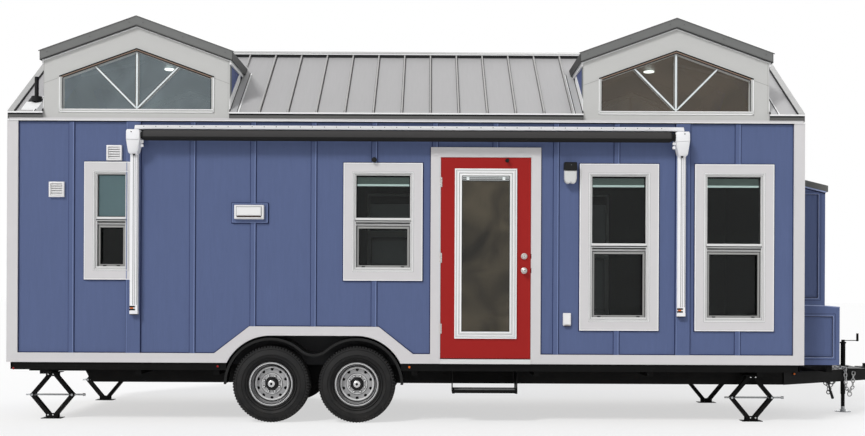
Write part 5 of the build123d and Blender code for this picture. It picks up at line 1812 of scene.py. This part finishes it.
# ---------------------------------------------------------------- door
@dataclass
class DoorDressing:
    """The door's moulded lite frame, blind header, hardware, hinges, and black strips that paint the shade in the gaps
    round the leaf.
    """

    plan: Plan
    lite_low: float = 0.878
    lite_high: float = 2.568
    lite_half: float = 0.300
    lite_spot: float = 4.824
    lite_edge: float = 0.056
    pane_depth: float = 0.0193
    knob_height: float = 1.553
    bolt_height: float = 1.698
    knob_inset: float = 0.066
    hinges_up: Flat = (0.300, 1.016)
    hinge_down: float = 0.250
    bumper_reach: float = 0.669

    def knob(self, x: float, face: float, way: int) -> Piece:
        """One turned knob with its rose."""
        profile = [(0.0, 0.064), (0.012, 0.063), (0.021, 0.058), (0.0265, 0.049), (0.0255, 0.040), (0.018, 0.034),
                   (0.012, 0.030), (0.0115, 0.013), (0.026, 0.012), (0.031, 0.009), (0.033, 0.0003)]
        return turned(profile, (x, face, self.knob_height), (0, way, 0))

    def bolt(self, x: float, face: float, way: int) -> Piece:
        """One turned deadbolt cylinder with its rose."""
        profile = [(0.0, 0.026), (0.017, 0.026), (0.021, 0.022), (0.024, 0.013), (0.030, 0.011), (0.033, 0.0003)]
        return turned(profile, (x, face, self.bolt_height), (0, way, 0))

    def loop(self, face: float, inset: float, band: float, out: float) -> Piece:
        """A ring inset from the lite frame's outer edge."""
        centre, reach = self.plan.rear + self.lite_spot, self.lite_half + 0.014 - inset
        return ring((centre - reach, self.lite_low - 0.014 + inset), (centre + reach, self.lite_high + 0.014 - inset),
                    band, face - 0.0115, out, bevel=0.0015)

    def lite(self, face: float) -> None:
        """Makes the lite frame's beads in painted highlight, its lines in painted shade, the blind's header, whose glow
        is painted light, and the blind's slats in painted shade.

        Args:
            face: the Y of the leaf's outer face.
        """
        beads = [self.loop(face, *size) for size in ((0.0, 0.013, 0.006), (0.030, 0.012, 0.005), (0.056, 0.014, 0.005))]
        dress(joined(beads), "door_lite_beads", EDGE_WHITE_AND_HIGHLIGHT, Body.DOOR)
        grooves = [self.loop(face, *size) for size in ((0.013, 0.004, 0.0025), (0.042, 0.004, 0.0035))]
        dress(joined(grooves), "door_lite_grooves", GROOVE_SHADE, Body.DOOR)
        low, high = self.lite_low + self.lite_edge, self.lite_high - self.lite_edge
        centre, half, pane = self.plan.rear + self.lite_spot, self.lite_half - self.lite_edge, face + self.pane_depth
        dress(ring((centre - half, low), (centre + half, high), 0.006, pane - 0.0005, 0.003),
              "door_glass_gasket", GASKET_AND_SHADE, Body.DOOR)
        a, b = centre - half + 0.006, centre + half - 0.006
        light = [box((a, pane - 0.010, high - 0.045), (b, pane - 0.001, high - 0.006))]
        light += [box((x - 0.007, pane - 0.014, high - 0.045), (x + 0.007, pane - 0.009, high - 0.006))
                  for x in (centre - 0.182, centre + 0.182)]
        dress(joined(light), "door_blind_header", HEADER, Body.DOOR)
        slats = [box((centre + p, pane - 0.0125, high - z), (centre + q, pane - 0.0098, high - z + 0.009))
                 for z in (0.026, 0.041) for p, q in ((-0.236, -0.196), (-0.168, 0.168), (0.196, 0.236))]
        slats.append(box((a, pane - 0.006, high - 0.056), (b, pane - 0.001, high - 0.045)))
        dress(joined(slats), "door_blind_slats", BLIND_DARK, Body.DOOR)

    def hardware(self, low: Vector, high: Vector) -> None:
        """Makes the knobs, bolts, hinges and the hold-open bumper.

        Args:
            low: the leaf's lower, outer, hinge-side corner.
            high: its upper, inner, free corner.
        """
        x, face = high.x - self.knob_inset, low.y
        metal = [make(x, y, way) for make in (self.knob, self.bolt) for y, way in ((face, -1), (high.y, 1))]
        pin = low.x - 0.003
        for z in (*(low.z + rise for rise in self.hinges_up), high.z - self.hinge_down):
            metal += [rod((pin, face - 0.008, z + a), (pin, face - 0.008, z + b), 0.0056, sides=16)
                      for a, b in ((-0.050, -0.031), (-0.030, -0.011), (-0.010, 0.010), (0.011, 0.030), (0.031, 0.050))]
            metal.append(box((pin, face - 0.0026, z - 0.050), (low.x + 0.012, face - 0.0004, z + 0.050), bevel=0.0005))
        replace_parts(dress(joined(metal), "door_knobs_and_hinges", NICKEL_PLAIN, Body.DOOR), "door_hardware")
        profile = [(0.0, 0.045), (0.014, 0.044), (0.019, 0.038), (0.019, 0.030), (0.013, 0.026), (0.013, 0.004),
                   (0.020, 0.0003)]
        knob_z, bolt_z = self.knob_height, self.bolt_height
        dark = [turned(profile, (low.x + self.bumper_reach, face, high.z - 0.030), DOORWARD, steps=24),
                rod((x + 0.004, face - 0.0655, knob_z), (x + 0.004, face - 0.060, knob_z), 0.006, sides=14),
                box((x - 0.0025, face - 0.0268, bolt_z - 0.007), (x + 0.0025, face - 0.024, bolt_z + 0.007))]
        dress(joined(dark), "door_bumper_and_keyways", GASKET_AND_SHADE, Body.DOOR)

    def build(self) -> None:
        """Makes the door's parts, and black strips on its frame that paint the shade in the gaps by the strikes and
        under the leaf.
        """
        near, (low, high) = self.plan.near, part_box("door_leaf")
        self.lite(low.y)
        self.hardware(low, high)
        strips = [box((high.x + 0.0006, near - 0.0205, z - 0.024), (high.x + 0.008, near - 0.012, z + 0.024))
                  for z in (self.knob_height, self.bolt_height)]
        strips.append(box((low.x, near - 0.014, low.z - 0.0075), (high.x, near + 0.02, low.z - 0.003)))
        dress(joined(strips), "door_strikes_and_sill_strip", GASKET_AND_SHADE)


# ---------------------------------------------------------------- fittings on the walls
@dataclass
class WallFittings:
    """Louvres, range hood vent, outlet cover, porch light and the door's wall catch."""

    plan: Plan
    louvre: float = 0.154
    louvre_spots: tuple[Flat, ...] = ((1.062, 2.728), (0.481, 2.355))
    slats: int = 5
    slat_pitch: float = 0.0238
    hood_spot: float = 2.4335
    lamp_spot: float = 5.673
    cover_spot: float = 5.6495
    catch_reach: float = 0.675

    def grille(self, along: float, z: float) -> tuple[Pieces, Piece]:
        """One louvre: its frame and slats, and the dark plate behind them.

        Args:
            along: its middle from the rear face.
            z: its middle height.

        Returns:
            The white parts and the grey plate that paints the shade behind them.
        """
        x, near, half = self.plan.rear + along, self.plan.near, self.louvre / 2
        white = [ring((x - half, z - half), (x + half, z + half), 0.017, near - 0.0003, 0.026, bevel=0.003)]
        inner = half - 0.016
        for k in range(self.slats):
            low = z - inner + 0.004 + self.slat_pitch * k
            high = low + 0.0205
            white.append(slab([(x - inner, near - 0.022, low), (x - inner, near - 0.007, high),
                               (x - inner, near - 0.004, high), (x - inner, near - 0.019, low)], (2 * inner, 0, 0)))
        return white, box((x - inner, near - 0.004, z - inner), (x + inner, near - 0.0004, z + inner))

    def hood(self) -> tuple[Pieces, Pieces, Pieces]:
        """The range hood's outlet.

        Returns:
            Its white parts, its painted shade lines and its dark slot in painted shade.
        """
        x, face = self.plan.rear + self.hood_spot, self.plan.near - self.plan.mount_face
        white = [box((x - half, face - out, low), (x + half, face - back, high), bevel=ease)
                 for half, out, back, low, high, ease in ((0.150, 0.032, 0.0, 2.060, 2.204, 0.006),
                                                          (0.124, 0.046, 0.030, 2.096, 2.182, 0.006),
                                                          (0.128, 0.040, 0.030, 2.070, 2.079, 0.003))]
        lines = [ring((x - 0.129, 2.090), (x + 0.129, 2.188), 0.004, face - 0.0315, 0.002)]
        return white, lines, [box((x - 0.124, face - 0.034, 2.080), (x + 0.122, face - 0.030, 2.095))]

    def lamp(self) -> None:
        """Makes the porch light and the wall catch."""
        x, near = self.plan.rear + self.lamp_spot, self.plan.near
        top, cap, low = 2.646, 2.562, 2.430
        black = [box((x - 0.064, near - 0.092, cap), (x + 0.064, near - 0.0003, top), bevel=0.006),
                 box((x - 0.056, near - 0.026, low + 0.02), (x + 0.056, near - 0.0003, cap), bevel=0.003)]
        half = [(-0.062, cap), (-0.062, 2.482), (-0.054, 2.448), (-0.038, low + 0.002), (-0.022, low),
                (-0.010, low + 0.004)]
        outline = half + [(0.0, low + 0.012)] + [(-a, z) for a, z in reversed(half)]
        lens = slab([(x + a, near - 0.026, z) for a, z in outline], (0, -0.060, 0), bevel=0.010)
        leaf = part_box("door_leaf")
        profile = [(0.0, 0.062), (0.018, 0.061), (0.026, 0.054), (0.027, 0.042), (0.018, 0.034), (0.016, 0.006),
                   (0.026, 0.0003)]
        catch = turned(profile, (leaf[0].x - self.catch_reach, near, leaf[1].z - 0.030), DOORWARD, steps=28)
        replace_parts(dress(joined(black + [catch]), "porch_light_body_and_catch", LAMP_BLACK), "porch_light")
        dress(lens, "porch_light_lens", LIGHT_LENS)
        screw = rod((x + 0.005, near - 0.094, cap + 0.055), (x + 0.005, near - 0.091, cap + 0.055), 0.005, sides=12)
        dress(screw, "porch_light_screw", SCREW)

    def build(self) -> None:
        """Makes every fitting."""
        (upper, upper_plate), (lower, lower_plate) = (self.grille(*spot) for spot in self.louvre_spots)
        white, lines, slot = self.hood()
        x, near = self.plan.rear + self.cover_spot, self.plan.near
        cover = [box((x - 0.040, near - 0.024, 0.998), (x + 0.040, near - 0.0003, 1.126), bevel=0.005),
                 box((x - 0.037, near - 0.034, 1.008), (x + 0.037, near - 0.023, 1.120), bevel=0.006)]
        piece = dress(joined(upper + lower + white + cover), "wall_vents_and_covers", FITTING)
        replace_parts(piece, "wall_vents")
        dress(joined([upper_plate, lower_plate] + lines), "vent_shadows", GROOVE_SHADE)
        # A dark strip under the outlet cover: painted shadow.
        slot.append(box((x - 0.032, near - 0.030, 0.991), (x + 0.030, near - 0.004, 0.999), bevel=0.002))
        dress(joined(slot), "vent_slots", SLOT_SHADE)
        self.lamp()


# ---------------------------------------------------------------- wheels
@dataclass
class Wheel:
    """One wheel's tread lugs, sidewall ribs, rim rings, hub and nuts."""

    plan: Plan
    name: str
    radius: float = 0.391
    track: float = 1.1445
    axles: Flat = (2.651, 3.522)
    lugs: int = 76
    nuts: int = 8
    nut_circle: float = 0.083
    ribs: tuple[Point, ...] = ((0.352, 0.004, 0.1069), (0.298, 0.007, 0.1172), (0.262, 0.003, 0.1135),
                               (0.240, 0.004, 0.1062))

    @property
    def way(self) -> int:
        """The direction along Y that the wheel's outer face looks."""
        return -1 if self.name.startswith("near") else 1

    @property
    def centre(self) -> Point:
        """The wheel's middle."""
        along = self.axles[0 if self.name.endswith("rear") else 1]
        return (self.plan.rear + along, self.plan.mid_y + self.way * self.track, self.radius)

    def round(self, obj: Piece, count: int, first: float = 0.0) -> Pieces:
        """A piece repeated round the axle; the model is used up.

        Args:
            obj: the piece at the top of the wheel.
            count: how many there are.
            first: the first one's turn, as a share of the pitch.

        Returns:
            The pieces.
        """
        there = Matrix.Translation(self.centre)
        back = Matrix.Translation(-Vector(self.centre))
        return repeated(obj, [there @ Matrix.Rotation(math.tau * (k + first) / count, 4, "Y") @ back
                              for k in range(count)])

    def outward(self, profile: Sequence[Flat], steps: int = 48) -> Piece:
        """A profile turned round the axle, its distances measured outward from the middle plane."""
        return turned(profile, self.centre, (0, self.way, 0), steps=steps)

    def ride(self, pieces: Sequence[Piece], kind: str, finish: Finish) -> None:
        """Joins pieces and puts them on the wheel."""
        dress(joined(pieces), f"{kind}_{self.name}", finish, f"wheel_{self.name}")

    def tread(self) -> None:
        """Makes the shoulder lugs and the sidewall ribs."""
        x, y, z = self.centre
        rubber = []
        for side, shift in ((1, 0.0), (-1, 0.5)):
            out = side * self.way
            lug = box((x - 0.008, y + out * 0.070, z + self.radius - 0.030),
                      (x + 0.009, y + out * 0.1060, z + self.radius - 0.0025), bevel=0.002)
            rubber += self.round(lug, self.lugs, shift)
            rubber += [self.outward([(middle - half, side * (base - 0.003)), (middle, side * (base + 0.004)),
                                     (middle + half, side * (base - 0.003))], steps=64)
                       for middle, half, base in self.ribs]
        self.ride(rubber, "tread", RUBBER)

    def rim(self) -> None:
        """Makes the raised rings of the rim's disc in a painted highlight, and painted shade in the grooves between
        them.
        """
        rings = [([(0.156, 0.0165), (0.160, 0.0270), (0.168, 0.0285), (0.175, 0.0230), (0.178, 0.0080)], 48),
                 ([(0.095, 0.0315), (0.098, 0.0375), (0.104, 0.0375), (0.107, 0.0300)], 48),
                 ([(0.2080, 0.1038), (0.2090, 0.1062), (0.2140, 0.1062), (0.2150, 0.1038)], 64)]
        self.ride([self.outward(*shape) for shape in rings], "rim_rings", RIM_HIGHLIGHT)
        grooves = [([(0.1985, 0.1038), (0.1987, 0.1048), (0.2068, 0.1048), (0.2070, 0.1038)], 64),
                   ([(0.2155, 0.1038), (0.2157, 0.1046), (0.2172, 0.1046), (0.2174, 0.1038)], 64),
                   ([(0.1785, 0.0080), (0.1790, 0.0098), (0.1868, 0.0070), (0.1872, 0.0050)], 48),
                   ([(0.1075, 0.0285), (0.1080, 0.0310), (0.1110, 0.0300), (0.1115, 0.0275)], 48),
                   ([(0.0600, 0.0305), (0.0605, 0.0335), (0.0680, 0.0335), (0.0685, 0.0305)], 48)]
        self.ride([self.outward(*shape) for shape in grooves], "rim_grooves", RIM_GROOVE_SHADE)

    def ring_of_nuts(self, inner: float, outer: float, radius: float, bevel: float, sides: int) -> Pieces:
        """Bars that stand round the hub between two distances from the middle plane."""
        x, y, z = self.centre
        a, b = sorted((y + self.way * inner, y + self.way * outer))
        bar = rod((x, a, z + self.nut_circle), (x, b, z + self.nut_circle), radius, bevel=bevel, sides=sides)
        return self.round(bar, self.nuts, 0.5)

    def hub(self) -> None:
        """Makes the brake drum, the nuts with their seats, the black hub and its bright cap."""
        seats = self.ring_of_nuts(0.029, 0.0335, 0.0145, 0.0, 20)
        dark = [self.outward([(0.038, 0.0675), (0.055, 0.0675), (0.061, 0.060), (0.0615, 0.0305)]),
                self.outward([(0.0, 0.086), (0.012, 0.086), (0.015, 0.082)], steps=24),
                self.outward([(0.062, -0.055), (0.062, -0.014), (0.148, -0.014), (0.152, -0.020), (0.180, -0.026),
                              (0.180, -0.050), (0.152, -0.055), (0.062, -0.055)])]
        self.ride(dark + seats, "hub", PIPE)
        cap = self.outward([(0.012, 0.084), (0.024, 0.083), (0.034, 0.078), (0.038, 0.070), (0.038, 0.058)], steps=40)
        self.ride([cap] + self.ring_of_nuts(0.030, 0.052, 0.0105, 0.002, 6), "cap", CHROME)

    def build(self) -> None:
        """Makes the wheel's parts."""
        self.tread()
        self.rim()
        self.hub()


# ---------------------------------------------------------------- trailer
@dataclass
class TrailerDressing:
    """Chains, plug, jack bolts, marker lenses, step tread and the cabinets' painted highlight and shade lines."""

    plan: Plan
    nose: float = 4.700
    leg_tip: float = 0.058
    leg_root: float = 0.790
    link_pitch: float = 0.040
    chain_off: float = 0.046
    chain_ends: Flat = (4.140, 4.260)
    chain_lay: tuple[Point, ...] = ((3.94, 0.018, 0.5165), (4.02, 0.010, 0.5165), (4.10, 0.020, 0.5165),
                                    (4.140, 0.030, 0.512), (4.140, 0.046, 0.478))
    plug_x: float = 3.915
    jacks_along: Flat = (0.329, 7.621)
    bolt_heights: Flat = (0.462, 0.040)
    axles: Flat = (2.651, 3.522)
    lens_away: float = 1.2753
    rib_pitch: float = 0.022
    cabinet_half: float = 0.825
    cabinet_depths: Flat = (0.395, 0.553)

    def leg(self, x: float) -> float:
        """Distance of a tongue leg's middle from the centre line."""
        apex = self.nose - 0.170
        return self.leg_tip + (self.leg_root - self.leg_tip) * (apex - x) / (apex - self.plan.front)

    def beside(self, side: int, x: float, away: float, z: float) -> Point:
        """A place beside the near (-1) or far (1) tongue leg."""
        return (x, self.plan.mid_y + side * (self.leg(x) + away), z)

    def string(self, path: Sequence[Point]) -> Pieces:
        """Chain links along a path.

        Args:
            path: its corners.

        Returns:
            The links, each turned a quarter from the one before.
        """
        link = hoop(0.0165, 0.0058, sides=18)
        pulled(link, lambda v: v.co.z > 0.0001, (0, 0, 0.007))
        pulled(link, lambda v: v.co.z < -0.0001, (0, 0, -0.007))
        places = []
        along = 0.0
        for a, b in zip(path, path[1:]):
            start, way = Vector(a), Vector(b) - Vector(a)
            aim = way.to_track_quat("Z", "Y").to_matrix().to_4x4()
            while along < way.length:
                quarter = Matrix.Rotation(math.pi / 2 * (len(places) % 2) + 0.4, 4, "Z")
                places.append(Matrix.Translation(start + way * (along / way.length)) @ aim @ quarter)
                along += self.link_pitch
            along -= way.length
        return repeated(link, places)

    def chains(self) -> None:
        """Makes both safety chains with their end loops."""
        first, last = self.chain_ends
        middle = (first + last) / 2
        hang = ((first, 0.478), (first + 0.012, 0.300), (middle, 0.252), (last - 0.012, 0.300), (last, 0.478))
        pieces = []
        for side in (-1, 1):
            pieces += self.string([self.beside(side, x, self.chain_off, z) for x, z in hang])
            pieces += self.string([self.beside(side, *spot) for spot in self.chain_lay])
            x, y, z = self.beside(side, middle, self.chain_off, 0.228)
            pieces.append(hoop(0.026, 0.006, (x + 0.004, y, z), 0.3))
        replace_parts(dress(joined(pieces), "safety_chain_links", CHAIN), "safety_chains")

    def plug(self) -> None:
        """Makes the tow plug that hangs under the near leg, with its ring and bracket."""
        x = self.plug_x
        y = self.plan.mid_y - self.leg(x) - 0.02
        black = [box((x - 0.022, y - 0.014, 0.352), (x + 0.022, y + 0.014, 0.3698), bevel=0.003),
                 rod((x, y, 0.362), (x + 0.020, y - 0.004, 0.270), 0.0095, bevel=0.002, sides=16),
                 rod((x + 0.020, y - 0.004, 0.276), (x + 0.046, y - 0.010, 0.190), 0.0145, bevel=0.004, sides=20),
                 hoop(0.021, 0.005, (x - 0.004, y - 0.012, 0.262), 0.2)]
        dress(joined(black), "tow_plug", PIPE)

    def jacks(self) -> None:
        """Makes the bright bolts of the scissor jacks."""
        mid = self.plan.mid_y
        made = [rod((x, mid - 1.004, z), (x, mid - 0.994, z), 0.0075, bevel=0.001, sides=12)
                for along in self.jacks_along for x in (self.plan.rear + along - 0.026, self.plan.rear + along + 0.026)
                for z in self.bolt_heights]
        pair(self.plan, made, "jack_bolts", CHROME)

    def markers(self) -> None:
        """Makes the small marker lenses with their dark rims."""
        plan, away = self.plan, self.lens_away
        rear, nose = plan.rear, plan.front + 0.093
        red = [(rear + 0.048, 0.544, away), (rear + self.axles[0] - 0.535, 0.571, away)]
        amber = [(rear + self.axles[1] + 0.535, 0.571, away), (nose, 0.482, self.leg(nose - 0.012) + 0.0303)]
        rims = []
        for spots, name, finish in ((red, "markers_red", RED_LENS), (amber, "markers_amber", AMBER)):
            lenses = []
            for x, z, out in spots:
                y = plan.mid_y - out
                rims.append(rod((x, y, z), (x, y - 0.008, z), 0.014, bevel=0.001, sides=20))
                lenses.append(turned([(0.0, 0.016), (0.006, 0.0148), (0.010, 0.011), (0.0115, 0.007)], (x, y, z),
                                     DOORWARD, steps=20))
            piece = pair(plan, lenses, name, finish)
            if finish is RED_LENS:
                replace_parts(piece, "marker_lights")
        pair(plan, rims, "marker_rims", PIPE)

    def step(self) -> None:
        """Makes the step's ribbed tread strips."""
        low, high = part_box("entry_step")
        rows = [low.y + 0.02 + self.rib_pitch * k for k in range(int((high.y - low.y - 0.03) / self.rib_pitch))]
        strips = [box((low.x + 0.012, y, high.z - 0.0005), (high.x - 0.012, y + 0.006, high.z + 0.003)) for y in rows]
        dress(joined(strips), "step_tread", STEP_GREY, Body.STEP)

    def cabinets(self) -> None:
        """Makes the painted highlight lines under the cabinets' lids and the painted highlight and shade lines round
        their panels.
        """
        plan = self.plan
        y, back = plan.mid_y - self.cabinet_half, plan.front + plan.mount_face
        upper_x, lower_x = (plan.front + depth for depth in self.cabinet_depths)
        body, shelf = 2.500, 1.178
        eave = body - 0.244 * (upper_x - back)
        light, dark = [], []
        for pieces, low, high, out in ((light, 0.014, 0.001, 0.024), (dark, 0.026, 0.014, 0.004)):
            pieces.append(slab([(back, y, body - low), (upper_x, y, eave - low), (upper_x, y, eave - high),
                                (back, y, body - high)], (0, -out, 0)))
        ledge = ((back, 0.040), (upper_x, 0.030), (lower_x, 0.0172), (lower_x, 0.008), (upper_x, 0.021), (back, 0.030))
        light.append(slab([(x, y, shelf + rise) for x, rise in ledge], (0, -0.004, 0)))
        for x1, z0, z1 in ((lower_x, 0.660, 1.095), (upper_x, 1.285, 2.379)):
            for pieces, grow, band in ((dark, 0.0, 0.008), (dark, 0.026, 0.003), (light, 0.004, 0.004)):
                pieces.append(ring((back + 0.070 - grow, z0 - grow), (x1 - 0.070 + grow, z1 + grow), band,
                                   y + 0.0005, 0.002))
        pair(plan, light, "cabinet_light_lines", CABINET_HIGHLIGHT)
        pair(plan, dark, "cabinet_dark_lines", CABINET_SHADE)

    def build(self) -> None:
        """Makes every part."""
        self.chains()
        self.plug()
        self.jacks()
        self.markers()
        self.step()
        self.cabinets()


# ---------------------------------------------------------------- stage
@dataclass
class Stage:
    """The camera, the soft studio light and the pale floor."""

    plan: Plan
    eye: Point = (-0.4235, -12.3065, 1.373)
    lens: float = 45.6
    roll: float = 0.25
    shift: Flat = (0.003, 0.081)
    world_level: float = 0.5
    key_level: float = 1.9
    fill_level: float = 0.65
    floor_size: float = 200
    floor_grey: float = 0.94
    floor_white: float = 0.6

    def camera(self) -> None:
        """Adds the level camera that looks at the door side."""
        data = bpy.data.cameras.new("camera")
        data.lens = self.lens
        data.sensor_width = 36
        data.shift_x, data.shift_y = self.shift
        data.clip_end = 400
        camera = bpy.data.objects.new("camera", data)
        camera.location = self.eye
        camera.rotation_euler = (math.pi / 2, 0, 0)
        camera.rotation_euler.rotate_axis("Z", math.radians(self.roll))
        bpy.context.scene.collection.objects.link(camera)
        bpy.context.scene.camera = camera

    def sun(self, name: str, aim: Point, level: float, spread: float) -> None:
        """Adds one soft distant lamp.

        Args:
            name: its name.
            aim: the direction that its light travels.
            level: its strength.
            spread: its apparent size in degrees.
        """
        data = bpy.data.lights.new(name, "SUN")
        data.energy = level
        data.angle = math.radians(spread)
        lamp = bpy.data.objects.new(name, data)
        lamp.rotation_euler = Vector(aim).to_track_quat("-Z", "Y").to_euler()
        bpy.context.scene.collection.objects.link(lamp)

    def world(self) -> None:
        """White for the camera, glossy and clear rays, and a plain level for the rest."""
        world = bpy.data.worlds.new("studio")
        world.use_nodes = True
        bpy.context.scene.world = world
        tree = Tree(world.node_tree)
        path = tree.add("LightPath").outputs
        seen = tree.math("MAXIMUM", path["Is Camera Ray"], path["Is Glossy Ray"])
        seen = tree.math("MAXIMUM", seen, path["Is Transmission Ray"])
        level = tree.math("ADD", self.world_level, tree.product(seen, 1 - self.world_level))
        tree.fill(world.node_tree.nodes["Background"], color=(1, 1, 1, 1), strength=level)

    def floor(self) -> None:
        """Adds the wide pale floor."""
        clear()
        bpy.ops.mesh.primitive_plane_add(size=self.floor_size, location=(self.plan.mid_x, self.plan.mid_y, 0))
        obj = settle()
        obj.name = "floor_plane"
        material = bpy.data.materials.new("pale_floor")
        material.use_nodes = True
        tree, nodes = Tree(material.node_tree), material.node_tree.nodes
        shader = tree.fill(nodes["Principled BSDF"], base_color=(*[self.floor_grey] * 3, 1), roughness=0.9)
        shader.inputs["Specular IOR Level"].default_value = 0.0
        blend = tree.add("MixShader")
        white = tree.product(tree.add("LightPath").outputs["Is Camera Ray"], self.floor_white)
        for socket, value in zip(blend.inputs, (white, shader.outputs[0], tree.add("Emission").outputs[0])):
            tree.set(socket, value)
        tree.fill(nodes["Material Output"], surface=blend.outputs[0])
        obj.data.materials.append(material)

    def build(self) -> None:
        """Sets the stage."""
        bpy.context.scene.view_settings.view_transform = "Standard"
        self.camera()
        self.world()
        self.sun("key", (0.45, 0.60, -0.66), self.key_level, 14)
        self.sun("fill", (-0.35, -0.75, -0.55), self.fill_level, 40)
        self.floor()


def main() -> None:
    """Loads the frame and builds every assembly."""
    logging.basicConfig(level=logging.INFO, format="%(message)s")
    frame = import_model()
    plan = Plan.from_frame()
    FrameFinishes(plan).build(frame["nodes"])
    roof = RoofShape(plan)
    assemblies = [Stage(plan), Battens(plan), TrimEdges(plan), WindowDressing(plan), RoofDressing(roof),
                  DormerDressing(roof), AwningDressing(plan), DoorDressing(plan), WallFittings(plan),
                  TrailerDressing(plan)]
    assemblies += [Wheel(plan, name) for name in WHEELS]
    for assembly in assemblies:
        LOG.info("building %s", type(assembly).__name__)
        assembly.build()


if __name__ == "__main__":
    main()
